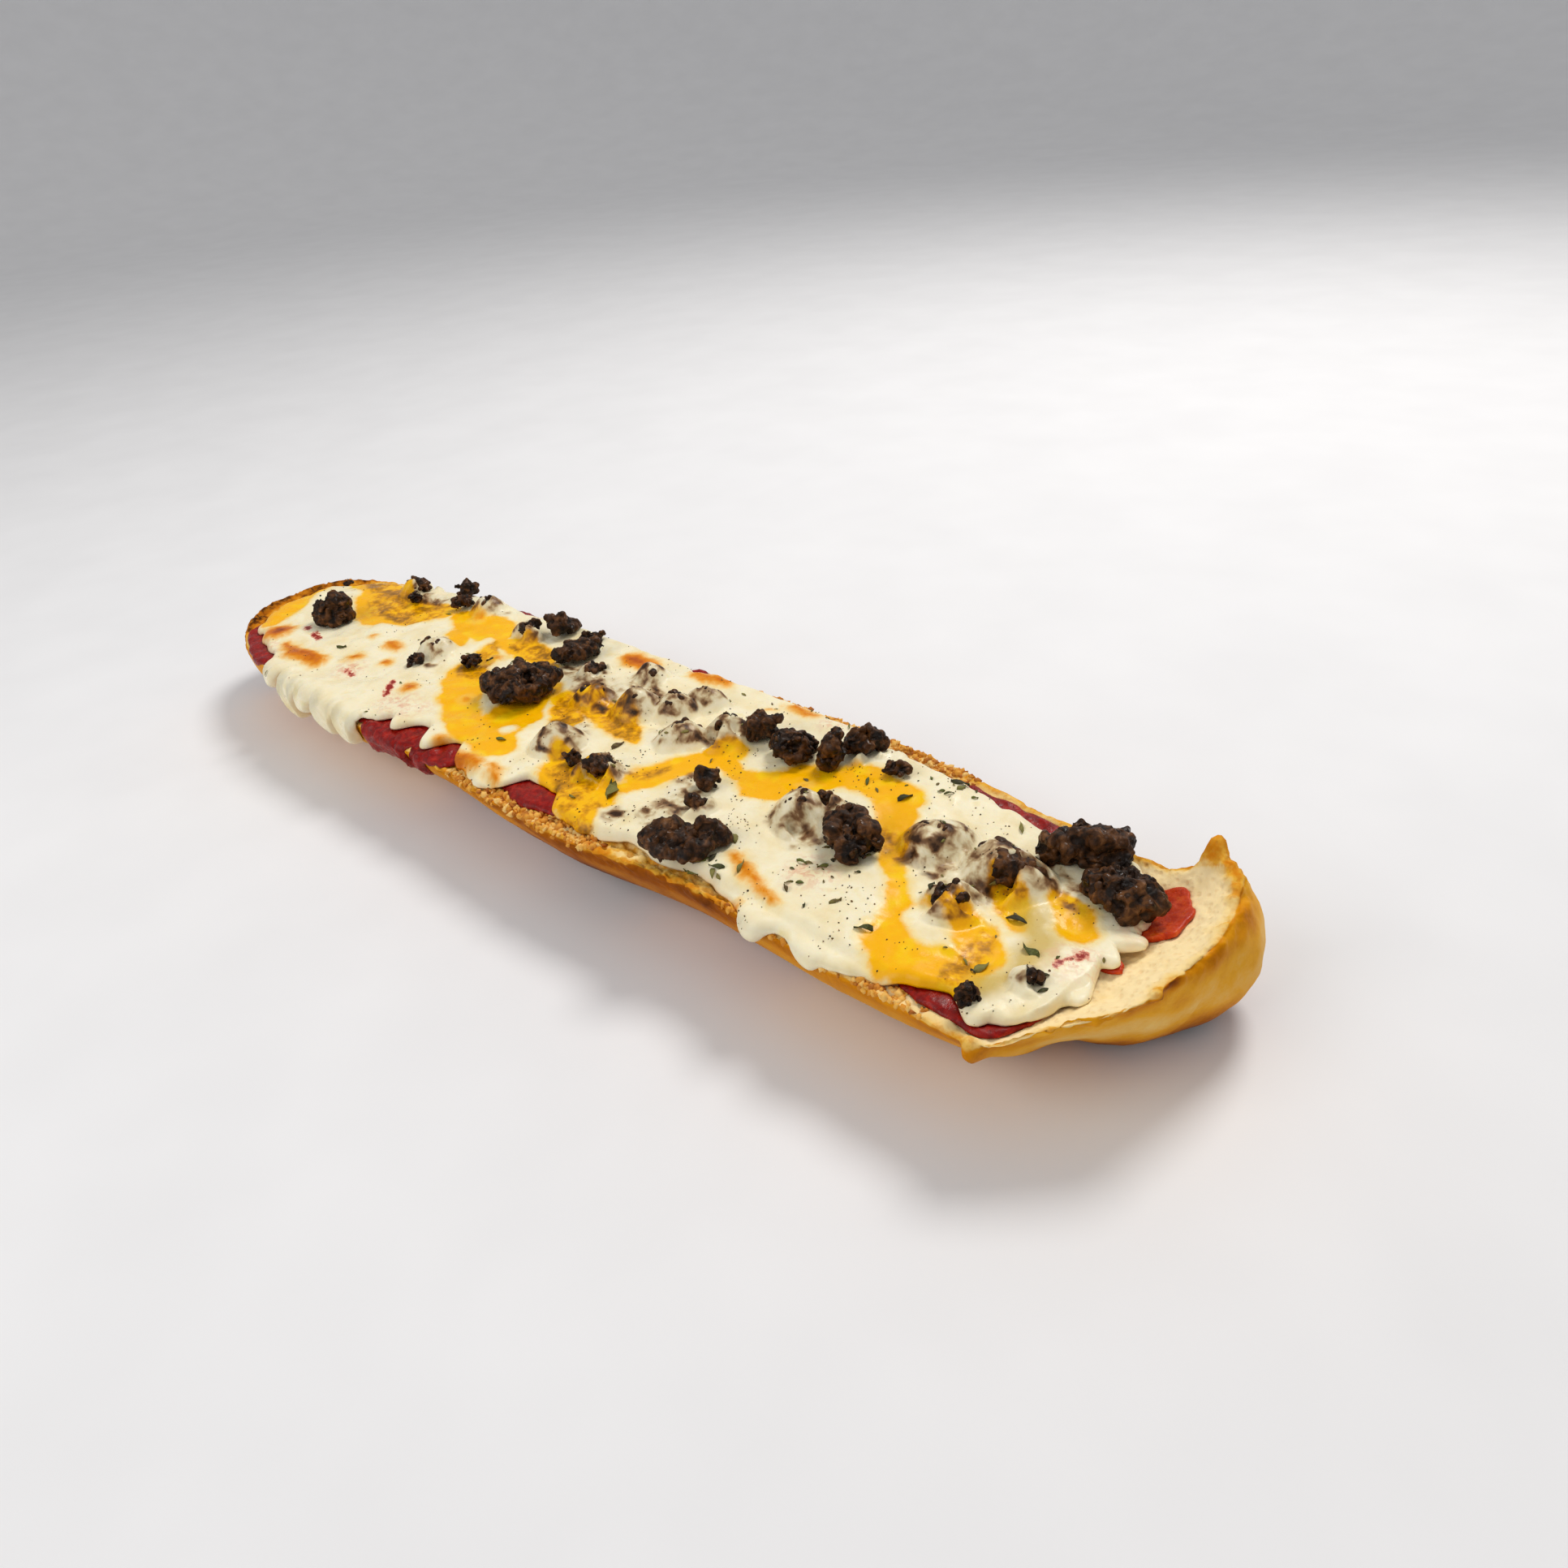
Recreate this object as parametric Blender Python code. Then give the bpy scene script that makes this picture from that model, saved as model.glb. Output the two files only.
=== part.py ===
"""Pizza bread: half of a long loaf, cut side up, with tomato sauce, melted cheese and beef crumbles.

Lengths are written in millimetres and become metres where a mesh is made. +X runs along the loaf to its
blunt end, +Z is up, and the loaf stands on its flat spot. A place on the loaf is a column, which runs from
the spine out across the cut face and down the crust, and a distance along it: 0 at the rim, below 0 on the
cut face.
"""

import math

import bmesh
import bpy
import numpy as np
from mathutils import Matrix, Vector
from mathutils.bvhtree import BVHTree

MM = 0.001
MIDDLE = (2.3, -1.1)

# Half loaf
CUT_FACE = 28.0
SPINE_LEFT, SPINE_RIGHT, SPINE_Y = -188.0, 182.0, -2.0
UNDERSIDE_POWER = 2.2
UNDERSIDE_DEPTH = 1.07
QUARTER_TURN = 28.0
BULGE_POWER = 0.8
RIM_ROUND = 2.5
RIM_ROUND_SPAN = 12.0
RAMP_POWER = 1.4
SWELL, LONG_SWELL = 0.3, 0.2
SWELL_FADE = 8.0
# Rows of the bread beside the rim: parts of the ramp, and distances down the crust
RAMP_MIDDLE, RIM_START = 0.65, 0.3
CRUST_START, CRUST_UPPER, CRUST_LOWER = 4.0, 11.0, 21.0
# Points of the rim, from the pointed end along the near side and back: x, y, height,
# how far in the cut face starts to climb to the rim, and how far the crust bulges below it
RIM = [
    (-216.5, 2, 32.2, 9, 0), (-216, -11, 32.0, 9, 0), (-211.5, -21.5, 31.6, 9, 0),
    (-201.5, -31.5, 30.5, 8, 0), (-184, -40, 29.3, 7, 0), (-160, -44.5, 28.6, 6, 0),
    (-130, -46.5, 28.2, 6, 0), (-90, -48.5, 28.0, 6, -2), (-40, -50, 28.0, 6, -6),
    (0, -51.8, 27.6, 6, -4), (35, -52.5, 27.8, 6, -3), (62, -50, 29.2, 6, -3), (86, -48, 29.8, 6, -3),
    (112, -49, 28.6, 6, -3), (145, -50.5, 28.2, 7, -4), (172, -51.5, 29.0, 9, -7),
    (186, -52, 30.6, 12, -12), (194.5, -44, 33.5, 16, -13), (202.5, -35.5, 35.5, 18, -11),
    (209.5, -27, 37.0, 19, -8), (213.5, -12, 38.2, 20, -1), (215.5, 1, 38.4, 21, 4),
    (215, 13, 39.0, 21, 12), (212.5, 23, 39.6, 20, 15), (207.5, 30, 40.4, 18, 15),
    (201, 33.8, 41.2, 14, 10), (195, 32, 34.5, 10, 5), (184, 33, 31.4, 8, 2), (160, 37, 30.2, 6, 0),
    (130, 42.5, 29.6, 6, 0), (100, 47, 29.6, 6, 0), (50, 49.5, 29.4, 6, 0), (0, 50, 29.2, 6, 0),
    (-50, 49.5, 29.0, 6, 0), (-110, 48, 29.0, 6, 0), (-150, 43.5, 29.6, 6, 0), (-178, 38.5, 30.6, 7, 0),
    (-197, 31.5, 31.6, 8, 0), (-210, 23, 32.4, 9, 0), (-215, 13, 32.6, 9, 0),
]

# Layers: each pair is a place along the side in x, or round an end in degrees, and how far the layer reaches
# along that column past the rim
GAP = 0.5
SAUCE_THICK = 1.0
SAUCE_EDGE = 2.5
PAST_SAUCE = 1.5
BLUNT = 0.4
SAUCE_NEAR = [
    (-188, -4), (-165, -1), (-150, -3), (-88, -3), (-80, -2), (-72, 3), (-66, 2), (-59, 3), (-51, 0),
    (-44, 1), (-38, 3), (-21, -8), (-6, -9), (3, -6), (14, -4), (24, -6), (30, -9), (60, -10),
    (150, -9), (166, -4), (182, -4),
]
SAUCE_RIGHT = [
    (-90, -4), (-78, -7), (-62, -19), (-42, -23), (-24, -14), (0, -12), (35, -11), (65, -9), (90, -5),
]
SAUCE_FAR = [
    (-188, -6), (-120, -5), (-104, -1), (-96, -1), (-84, -5), (-12, -5), (0, -1), (10, -5), (58, -6),
    (68, -3), (78, -8), (115, -10), (126, -4), (152, -3.5), (164, -4), (182, -5),
]
SAUCE_LEFT = [(90, -8), (180, -13), (225, -8), (250, -4), (270, -4)]

CHEESE_THICK = 2.6
CHEESE_EDGE = 3.4
LUMP, LONG_LUMP = 0.5, 0.3
STEP_DOWN = 3.0
CHEESE_NEAR = [
    (-188, -9), (-178, -7), (-166, -6), (-158, 0), (-148, 1), (-120, 2), (-98, 2), (-86, 0), (-76, -4),
    (-69, -11), (-54, -13), (-44, -11), (-33, -13), (-24, -4), (-8, -2), (0, -5), (6, -14), (19, -14),
    (28, -6), (45, -5), (60, -7), (75, -5), (90, -6), (102, -3), (140, -1), (152, -3), (162, -7),
    (172, -10), (182, -8),
]
CHEESE_RIGHT = [
    (-90, -8), (-76, -9), (-60, -16), (-40, -20), (0, -21), (40, -21), (62, -16), (76, -8), (90, -4),
]
CHEESE_FAR = [
    (-188, -5), (-120, -2), (-104, -4), (-96, -4), (-84, -2), (-10, -3), (0, -5), (10, -3), (58, -3),
    (68, -6), (78, -5), (92, -8), (115, -8), (128, -8), (140, -9), (154, -9), (166, -5), (182, -5),
]
CHEESE_LEFT = [(90, -6), (120, -9), (180, -11), (225, -11), (250, -9), (270, -9)]
# Drips on the near side: place, half width, and how much further they run
DRIPS = [
    (-152, 5, 4), (-135, 5, 11), (-121, 5, 4), (-106, 6, 8), (-90, 6, 9),
    (-64, 5, 7), (-43, 5, 8), (113, 6, 5), (132, 5, 3), (178, 5, 4),
]

# Beef crumbles: x, y, length, width, height, turn in degrees
CRUMBLES = [
    (-167, -7, 17, 13, 12, 66), (-200, 19, 6, 5, 3, 60), (-158, 32, 10, 8, 7, 61), (-134, 39, 10, 8, 7, 59),
    (-127, 31, 10, 7, 5, 60), (-115, 36, 10, 6, 4, 40), (-152, 24, 8, 6, 4, 62), (-101, -1, 10, 8, 5, 62),
    (-98, -12, 7, 5, 3, 63), (-78, 1, 8, 6, 4, 60), (-42, -5, 26, 16, 9, 58), (-78, 30, 10, 8, 6, 57),
    (-68, 38, 15, 11, 7, 55), (-46, 25, 19, 12, 8, 55), (-52, 40, 9, 5, 4, 53), (-30, 22, 8, 5, 3, 54),
    (6, 10, 9, 7, 8, 52), (18, 17, 9, 8, 7, 50), (23, 27, 9, 6, 5, 48), (-8, 31, 8, 7, 5, 30),
    (-15, 8, 9, 7, 5, 40), (0, -20, 10, 9, 7, 57), (13, -26, 6, 5, 4, 56), (26, -24, 11, 8, 6, 55),
    (34, 4, 15, 9, 6, 49), (45, 15, 9, 8, 7, 47), (56, 20, 12, 9, 8, 45), (72, 17, 15, 12, 9, 43),
    (85, 20, 9, 7, 10, 41), (89, 32, 14, 10, 7, 39), (105, 27, 9, 7, 4, 37), (61, -11, 7, 6, 6, 49),
    (66, -21, 7, 6, 5, 49), (77, -39, 23, 14, 8, 51), (97, -5, 15, 12, 7, 42), (117, -10, 19, 13, 10, 135),
    (136, 4, 13, 10, 6, 35), (157, 3, 17, 12, 8, 175), (154, -16, 10, 8, 6, 34), (171, 22, 27, 13, 8.5, 26),
    (189, 9, 18, 13, 8.5, 24), (176, -43, 6, 5, 5, 34), (184, -30, 8, 5, 3, 29),
]
# A crumble longer than this gets more knobs and faces
FINE_CRUMBLE = 16
KNOBS, FINE_KNOBS = 6, 14
KNOB_LOW, KNOB_HIGH, KNOB_NARROW = -0.22, 0.34, 7.0
TALLER = 1.32
CRUMBLE_SUNK = 0.34
CRUMBLE_GAP = 0.6
NEIGHBOUR_GAP = 0.25
NEIGHBOURS_WITHIN = 30.0

# Dried herb leaves on the cheese: x, y, length, turn in degrees
LEAVES = [
    (91, -39, 5, 20), (97, -36, 5, 110), (86, -26, 5, 140), (124, 33, 6, 15), (115, 17, 5, 60),
    (18, -10, 5, 80), (38, -30, 8, 115), (141, -36, 5, 35), (170, -10, 6, 10), (179, -20, 6, 160),
    (128, -32, 4, 70), (150, 24, 5, 130), (-20, -30, 4, 20), (-62, 12, 4, 100), (-140, -20, 4, 45),
    (110, -24, 4, 0), (172, -31, 5, 75),
]
LEAF_WIDTH = 0.42
LEAF_THICK = 1.3

COLOURS = {
    "bread": (0.72, 0.42, 0.13), "sauce": (0.42, 0.02, 0.008),
    "cheese": (0.86, 0.72, 0.40), "beef": (0.055, 0.026, 0.014),
}
GLOSS = {"bread": 0.75, "sauce": 0.3, "cheese": 0.4, "beef": 0.5}


def closed_curve(points, steps):
    """Catmull-Rom curve through a ring of points, with that many steps from one point to the next."""
    p1 = np.array(points, float)[:, None, :]
    p0, p2, p3 = (np.roll(p1, shift, axis=0) for shift in (1, -1, -2))
    u = (np.arange(steps) / steps)[None, :, None]
    curve = 0.5 * (2 * p1 + (p2 - p0) * u + (2 * p0 - 5 * p1 + 4 * p2 - p3) * u**2
                   + (3 * p1 - p0 - 3 * p2 + p3) * u**3)
    return curve.reshape(-1, p1.shape[2])


def eased(knots, places):
    """Values between knots, level at each knot and eased from one to the next."""
    at, value = np.array(knots, float).T
    k = np.clip(np.searchsorted(at, places) - 1, 0, len(at) - 2)
    u = np.clip((places - at[k]) / (at[k + 1] - at[k]), 0, 1)
    return value[k] + (value[k + 1] - value[k]) * u * u * (3 - 2 * u)


class Columns:
    """Columns round the loaf: near side, right end, far side, left end. Each holds its foot on the spine,
    the way it runs outwards, and the rim's reach, height, ramp and bulge there."""

    def __init__(self, per_side, per_end):
        curve = closed_curve(RIM, 24)
        x_side = np.linspace(SPINE_LEFT, SPINE_RIGHT, per_side + 1)
        fan = np.linspace(0, 180, per_end + 1)[1:-1]
        near = self.along(curve[curve[:, 1] < SPINE_Y], x_side)
        far = self.along(curve[curve[:, 1] > SPINE_Y], x_side[::-1])
        right = self.around(curve, SPINE_RIGHT, fan - 90)
        left = self.around(curve, SPINE_LEFT, fan + 90)
        ends = len(fan)
        right_foot, left_foot = np.full(ends, SPINE_RIGHT), np.full(ends, SPINE_LEFT)
        self.foot = np.concatenate([x_side, right_foot, x_side[::-1], left_foot])
        side_angle = np.full(per_side + 1, 90.0)
        self.angle = np.concatenate([-side_angle, fan - 90, side_angle, fan + 90])
        self.reach, self.height, self.ramp, self.bulge = np.concatenate([near, right, far, left]).T
        self.parts = np.repeat([0, 1, 2, 3], [per_side + 1, ends, per_side + 1, ends])

    @staticmethod
    def along(side, places):
        side = side[np.argsort(side[:, 0])]
        reach = np.abs(side[:, 1] - SPINE_Y)
        return np.stack([np.interp(places, side[:, 0], v) for v in (reach, *side[:, 2:].T)], axis=1)

    @staticmethod
    def around(curve, foot, angles):
        rel = curve[:, :2] - (foot, SPINE_Y)
        turn = np.degrees(np.arctan2(rel[:, 1], rel[:, 0]))
        turn = np.where(turn < angles[0] - 60, turn + 360, turn)
        order = np.argsort(turn)
        reach = np.hypot(*rel.T)
        values = (reach, *curve[:, 2:].T)
        return np.stack([np.interp(angles, turn[order], v[order]) for v in values], axis=1)

    def rolled(self, steps):
        """The same columns, each standing in the place of a neighbour."""
        other = object.__new__(Columns)
        for name, value in self.__dict__.items():
            setattr(other, name, np.roll(value, steps))
        return other

    def layer_reach(self, near, right, far, left):
        """How far a layer reaches along each column past the rim."""
        by_part = [
            eased(near, self.foot), eased(right, self.angle), eased(far, self.foot), eased(left, self.angle),
        ]
        return np.choose(self.parts, by_part)


def undulation(x, y):
    """Low swell of the cut face, the same from every column: two short waves crossed, and a long one."""
    short = np.sin(x / 23 + 1.0) * np.cos(y / 19 + x / 61)
    return SWELL * short + LONG_SWELL * np.sin(x / 41 - y / 27)


def sharp_section(c, col):
    """Distance from the spine and height at c along the columns, with the rim sharp. The cut face
    is level and ramps up to the rim by a power law. The underside is a superellipse, cut at the floor."""
    climb = np.clip(1 + c / col.ramp, 0, 1) ** RAMP_POWER
    inside = np.minimum(c, 0)
    top = CUT_FACE + (col.height - CUT_FACE) * climb
    turn = np.clip(c / QUARTER_TURN, 0, math.pi / 2)
    power = 2 / UNDERSIDE_POWER
    out = np.cos(turn) ** power * col.reach + col.bulge * np.sin(2 * turn) ** BULGE_POWER
    drop = np.clip(1 - UNDERSIDE_DEPTH * np.sin(turn) ** power, 0, 1)
    on_top = c <= 0
    return np.where(on_top, col.reach + inside, out), np.where(on_top, top, col.height * drop)


def bread_surface(c, col):
    """Points of the bread, in millimetres, at c along the columns. The rim is rounded by averaging the sharp
    section over a short span each way."""
    span = RIM_ROUND * np.clip(1 - (c / RIM_ROUND_SPAN) ** 2, 0, 1)
    sections = [sharp_section(c + k * span, col) for k in (-1, -0.5, 0, 0.5, 1)]
    out = sum(s[0] for s in sections) / len(sections)
    z = sum(s[1] for s in sections) / len(sections)
    x = col.foot + out * np.cos(np.radians(col.angle))
    y = SPINE_Y + out * np.sin(np.radians(col.angle))
    on_face = np.clip(-c / SWELL_FADE, 0, 1)
    return np.stack([x, y, z + undulation(x, y) * on_face], axis=-1)


def outward(c, col):
    """Unit normals of the bread at c along the columns, straight up on the cut face away from the rim."""
    along = bread_surface(c + 0.5, col) - bread_surface(c - 0.5, col)
    across = bread_surface(c, col.rolled(-1)) - bread_surface(c, col.rolled(1))
    normal = np.cross(along, across)
    normal /= np.maximum(np.linalg.norm(normal, axis=-1, keepdims=True), 1e-9)
    near_rim = np.clip((c + 9) / 5, 0, 1)[..., None]
    mixed = normal * near_rim + np.array([0, 0, 1.0]) * (1 - near_rim)
    return mixed / np.linalg.norm(mixed, axis=-1, keepdims=True)


def ring_faces(rows, columns, turned=None):
    """Triangles between neighbouring rows of a grid that closes on itself along its rows. Past the turned
    row the sheet runs back under itself, and its quads are split along the other diagonal, to match those
    above."""
    r, k = np.meshgrid(np.arange(rows - 1), np.arange(columns), indexing="ij")
    a, b = r * columns + k, r * columns + (k + 1) % columns
    c, d = b + columns, a + columns
    there = np.stack([a, c, b, a, d, c], axis=-1)
    back = np.stack([a, d, b, b, d, c], axis=-1)
    split = there if turned is None else np.where((r < turned)[..., None], there, back)
    return split.reshape(-1, 3)


def welded(points, faces):
    """The mesh with points that share a place made one, and triangles that this closes left out."""
    _, first, index = np.unique(np.round(points, 4), axis=0, return_index=True, return_inverse=True)
    faces = index.reshape(-1)[faces]
    whole = (faces[:, 0] != faces[:, 1]) & (faces[:, 1] != faces[:, 2]) & (faces[:, 2] != faces[:, 0])
    return points[first], faces[whole]


def add_mesh(name, finish, points, faces):
    """An object from points in millimetres, with its faces turned outwards and its own material."""
    corners = points[faces]
    if np.einsum("ij,ij->i", corners[:, 0], np.cross(corners[:, 1], corners[:, 2])).sum() < 0:
        faces = faces[:, ::-1]
    placed = (points - (*MIDDLE, 0)) * MM
    mesh = bpy.data.meshes.new(name)
    mesh.from_pydata(placed.tolist(), [], faces.tolist())
    mesh.shade_smooth()
    obj = bpy.data.objects.new(name, mesh)
    bpy.context.collection.objects.link(obj)
    if finish:
        mesh.materials.append(food_material(name, finish))
    return obj


def food_material(name, finish):
    material = bpy.data.materials.new(name)
    material.use_nodes = True
    shader = material.node_tree.nodes["Principled BSDF"]
    shader.inputs["Base Color"].default_value = (*COLOURS[finish], 1)
    shader.inputs["Roughness"].default_value = GLOSS[finish]
    shader.inputs["Metallic"].default_value = 0
    return material


def make_bread():
    """Half loaf: rows from the spine of the cut face over the rim and under to the flat spot."""
    col = Columns(per_side=40, per_end=18)
    flat_edge = math.asin((1 / UNDERSIDE_DEPTH) ** (UNDERSIDE_POWER / 2)) * QUARTER_TURN
    bottom = QUARTER_TURN * math.pi / 2
    rows = [-col.reach, -col.ramp, -RAMP_MIDDLE * col.ramp, -RIM_START * col.ramp]
    down_crust = (0, CRUST_START, CRUST_UPPER, CRUST_LOWER, flat_edge, bottom)
    rows += [np.full_like(col.reach, c) for c in down_crust]
    points = np.stack([bread_surface(c, col) for c in rows])
    points[-2:, :, 2] = 0
    return add_mesh("bread", "bread", *welded(points.reshape(-1, 3), ring_faces(*points.shape[:2])))


def edge_blunt(c, edge, width):
    """How much of its thickness a layer has at c: all of it up to that width from the edge, then less along
    a quarter circle, down to BLUNT."""
    into = np.clip((c - edge + width) / width, 0, 1)
    return BLUNT + (1 - BLUNT) * np.sqrt(1 - into**2)


def make_layer(name, col, edge, inside, stops, lift, thickness):
    """Closed sheet over the bread: rows out across its upper face, round its blunt edge and back beneath.
    Both faces have their rows at the same distances, stops among them, so the sheet never cuts itself."""
    rows = [*np.sort(np.minimum(stops, edge), axis=0), edge]
    face = [-col.reach + (rows[0] + col.reach) * part for part in inside]
    upper, lower = face + rows, rows[::-1] + face[:1]
    heights = [lift(c) + thickness(c) for c in upper] + [lift(c) for c in lower]
    places = zip(upper + lower, heights)
    points = np.stack([bread_surface(c, col) + outward(c, col) * height[:, None] for c, height in places])
    faces = ring_faces(*points.shape[:2], turned=len(upper))
    return add_mesh(name, name, *welded(points.reshape(-1, 3), faces))


def make_sauce(col, edge):
    stops = [-col.ramp, -RIM_START * col.ramp, 0 * col.ramp]
    return make_layer("sauce", col, edge, (0,), stops, lambda c: np.full_like(c, GAP),
                      lambda c: SAUCE_THICK * edge_blunt(c, edge, SAUCE_EDGE))


def make_cheese(col, edge, sauce_edge):
    def lift(c):
        """Clear of the sauce as far as it reaches, then down onto the bread."""
        past = np.clip((c - sauce_edge - PAST_SAUCE) / STEP_DOWN, 0, 1)
        return GAP + (SAUCE_THICK + GAP) * (1 - past)

    def thickness(c):
        x, y, _ = bread_surface(c, col).T
        lumps = LUMP * np.sin(x / 5.3 + 2 * np.sin(y / 9)) * np.sin(y / 6.1 + x / 17)
        lumps += LONG_LUMP * np.sin(x / 11 - y / 8)
        return (CHEESE_THICK + lumps) * edge_blunt(c, edge, CHEESE_EDGE)

    stops = [-col.ramp, -RIM_START * col.ramp, 0 * col.ramp, 0 * col.ramp + CRUST_START]
    stops += [sauce_edge + PAST_SAUCE, edge - CHEESE_EDGE]
    return make_layer("cheese", col, edge, (0, 0.5), stops, lift, thickness)


def cheese_reach(col):
    """Reach of the cheese, with the drips on the near side added as rounded lobes."""
    edge = col.layer_reach(CHEESE_NEAR, CHEESE_RIGHT, CHEESE_FAR, CHEESE_LEFT)
    for place, half_width, extra in DRIPS:
        lobe = np.exp(-(((col.foot - place) / half_width) ** 2))
        edge = edge + extra * lobe * (col.parts == 0)
    return edge


def surface_under(trees, x, y):
    """Height of what lies highest at x, y. Beside the loaf it is that of the cut face."""
    start = Vector(((x - MIDDLE[0]) * MM, (y - MIDDLE[1]) * MM, 0.1))
    hits = [tree.ray_cast(start, Vector((0, 0, -1)))[0] for tree in trees]
    return max([hit.z / MM for hit in hits if hit], default=CUT_FACE)


def crumble_shape(number, size, fine):
    """A lumpy ball: an ellipsoid with seeded knobs and dents. Its radius in each direction is the
    ellipsoid's, times one plus a bump for each knob."""
    rng = np.random.default_rng(100 + number)
    ball = bmesh.new()
    bmesh.ops.create_icosphere(ball, subdivisions=3 if fine else 2, radius=1)
    ways = np.array([v.co for v in ball.verts])
    faces = np.array([[v.index for v in f.verts] for f in ball.faces])
    ball.free()
    knobs = rng.normal(size=(FINE_KNOBS if fine else KNOBS, 3))
    knobs /= np.linalg.norm(knobs, axis=1, keepdims=True)
    strength = rng.uniform(KNOB_LOW, KNOB_HIGH, len(knobs))
    bumps = (np.exp(KNOB_NARROW * (ways @ knobs.T - 1)) * strength).sum(axis=1)
    half = np.array(size) / 2 * (1, 1, TALLER)
    return ways * half * (1.02 + bumps)[:, None], faces


def make_crumbles(trees):
    """Beef crumbles, flattened below where they lie and kept apart from neighbours by a plane between."""
    centres = []
    for x, y, length, width, height, _ in CRUMBLES:
        centres.append((x, y, surface_under(trees, x, y) + CRUMBLE_SUNK * height + CRUMBLE_GAP))
    centres = np.array(centres)
    radii = np.array([(c[2] + c[3]) / 4 for c in CRUMBLES])
    made = []
    for i, (x, y, length, width, height, turn) in enumerate(CRUMBLES):
        offsets, faces = crumble_shape(i, (length, width, height), length > FINE_CRUMBLE)
        spin = Matrix.Rotation(math.radians(turn), 3, "Z")
        offsets = offsets @ np.array(spin).T
        for j in range(len(CRUMBLES)):
            between = centres[j] - centres[i]
            apart = np.linalg.norm(between)
            if i == j or apart > NEIGHBOURS_WITHIN:
                continue
            room = apart * radii[i] / (radii[i] + radii[j]) - NEIGHBOUR_GAP
            ahead = offsets @ (between / apart)
            offsets = offsets * np.minimum(1, room / np.maximum(ahead, 1e-6))[:, None]
        points = centres[i] + offsets
        floors = np.array([surface_under(trees, px, py) for px, py, _ in points]) + CRUMBLE_GAP
        points[:, 2] = np.maximum(points[:, 2], floors)
        made.append(add_mesh(f"beef_{i + 1:02d}", "beef", points, faces))
    return made


def leaf_mesh(x, y, z, length, turn):
    """A leaf as a flat six-sided prism with pointed ends, sunk to half its thickness."""
    outline = np.array([(-0.5, 0), (-0.18, -0.5), (0.22, -0.42), (0.5, 0), (0.2, 0.5), (-0.2, 0.42)])
    outline *= (length, length * LEAF_WIDTH)
    a = math.radians(turn)
    flat = outline @ np.array([[math.cos(a), math.sin(a)], [-math.sin(a), math.cos(a)]]) + (x, y)
    half = LEAF_THICK / 2
    points = np.concatenate([np.column_stack([flat, np.full(6, z + side * half)]) for side in (-1, 1)])
    caps = [(0, i + 1, i) for i in range(1, 5)] + [(6, 6 + i, 7 + i) for i in range(1, 5)]
    walls = []
    for i in range(6):
        j = (i + 1) % 6
        walls += [(i, j, 6 + j), (i, 6 + j, 6 + i)]
    return points, np.array(caps + walls)


def fuse_leaves(cheese, tree):
    """Joins the herb leaves to the cheese in one union, and removes the loose leaves."""
    loose = bpy.data.collections.new("leaves")
    bpy.context.scene.collection.children.link(loose)
    for number, (x, y, length, turn) in enumerate(LEAVES):
        points, faces = leaf_mesh(x, y, surface_under([tree], x, y), length, turn)
        leaf = add_mesh(f"leaf_{number}", None, points, faces)
        bpy.context.collection.objects.unlink(leaf)
        loose.objects.link(leaf)
    union = cheese.modifiers.new("leaves", "BOOLEAN")
    union.operation = "UNION"
    union.operand_type = "COLLECTION"
    union.collection = loose
    union.solver = "EXACT"
    graph = bpy.context.evaluated_depsgraph_get()
    fused = bpy.data.meshes.new_from_object(cheese.evaluated_get(graph))
    cheese.modifiers.clear()
    cheese.data = fused
    for leaf in list(loose.objects):
        bpy.data.objects.remove(leaf, do_unlink=True)
    bpy.data.collections.remove(loose)


def tree_of(obj):
    return BVHTree.FromPolygons([v.co for v in obj.data.vertices], [p.vertices for p in obj.data.polygons])


def main():
    for obj in list(bpy.data.objects):
        bpy.data.objects.remove(obj, do_unlink=True)
    bread = make_bread()
    col = Columns(per_side=80, per_end=18)
    sauce_edge = col.layer_reach(SAUCE_NEAR, SAUCE_RIGHT, SAUCE_FAR, SAUCE_LEFT)
    sauce = make_sauce(col, sauce_edge)
    cheese = make_cheese(col, cheese_reach(col), sauce_edge)
    make_crumbles([tree_of(bread), tree_of(sauce), tree_of(cheese)])
    fuse_leaves(cheese, tree_of(cheese))


main()
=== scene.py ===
"""Looks of the pizza bread: loaf with toasted crumbs, tomato sauce, melted cheese, beef crumbles, dried herbs
and pepper, with a floor, lights and the camera.

Shapes are worked out in millimetres in the loaf's own places and become metres of the frame in new_mesh.
A place on the loaf is a column, which runs from the spine out across the cut face and down the crust, and a
distance c along it: 0 at the rim, below 0 on the cut face, above 0 on the crust. Sizes, widths and heights
are millimetres and angles are degrees, unless a comment says otherwise. Calls of noise, rough and pores give
the size of the pattern and then its seed, which only has to differ from call to call.
"""

import itertools
import math
from functools import partial

import bmesh
import bpy
import numpy as np
from mathutils import Matrix


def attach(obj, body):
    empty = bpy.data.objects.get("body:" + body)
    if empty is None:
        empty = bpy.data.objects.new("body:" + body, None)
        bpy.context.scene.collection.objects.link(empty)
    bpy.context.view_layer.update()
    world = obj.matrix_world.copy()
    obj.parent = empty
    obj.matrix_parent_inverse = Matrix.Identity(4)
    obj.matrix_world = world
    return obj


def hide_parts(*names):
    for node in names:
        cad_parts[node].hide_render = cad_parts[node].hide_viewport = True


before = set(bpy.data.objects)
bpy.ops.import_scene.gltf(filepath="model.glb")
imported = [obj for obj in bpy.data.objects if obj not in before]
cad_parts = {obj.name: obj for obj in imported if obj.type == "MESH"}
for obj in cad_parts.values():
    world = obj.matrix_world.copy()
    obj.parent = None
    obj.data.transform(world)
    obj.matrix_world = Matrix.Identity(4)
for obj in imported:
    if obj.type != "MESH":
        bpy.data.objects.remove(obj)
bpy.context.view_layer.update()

MM = 0.001
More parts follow.
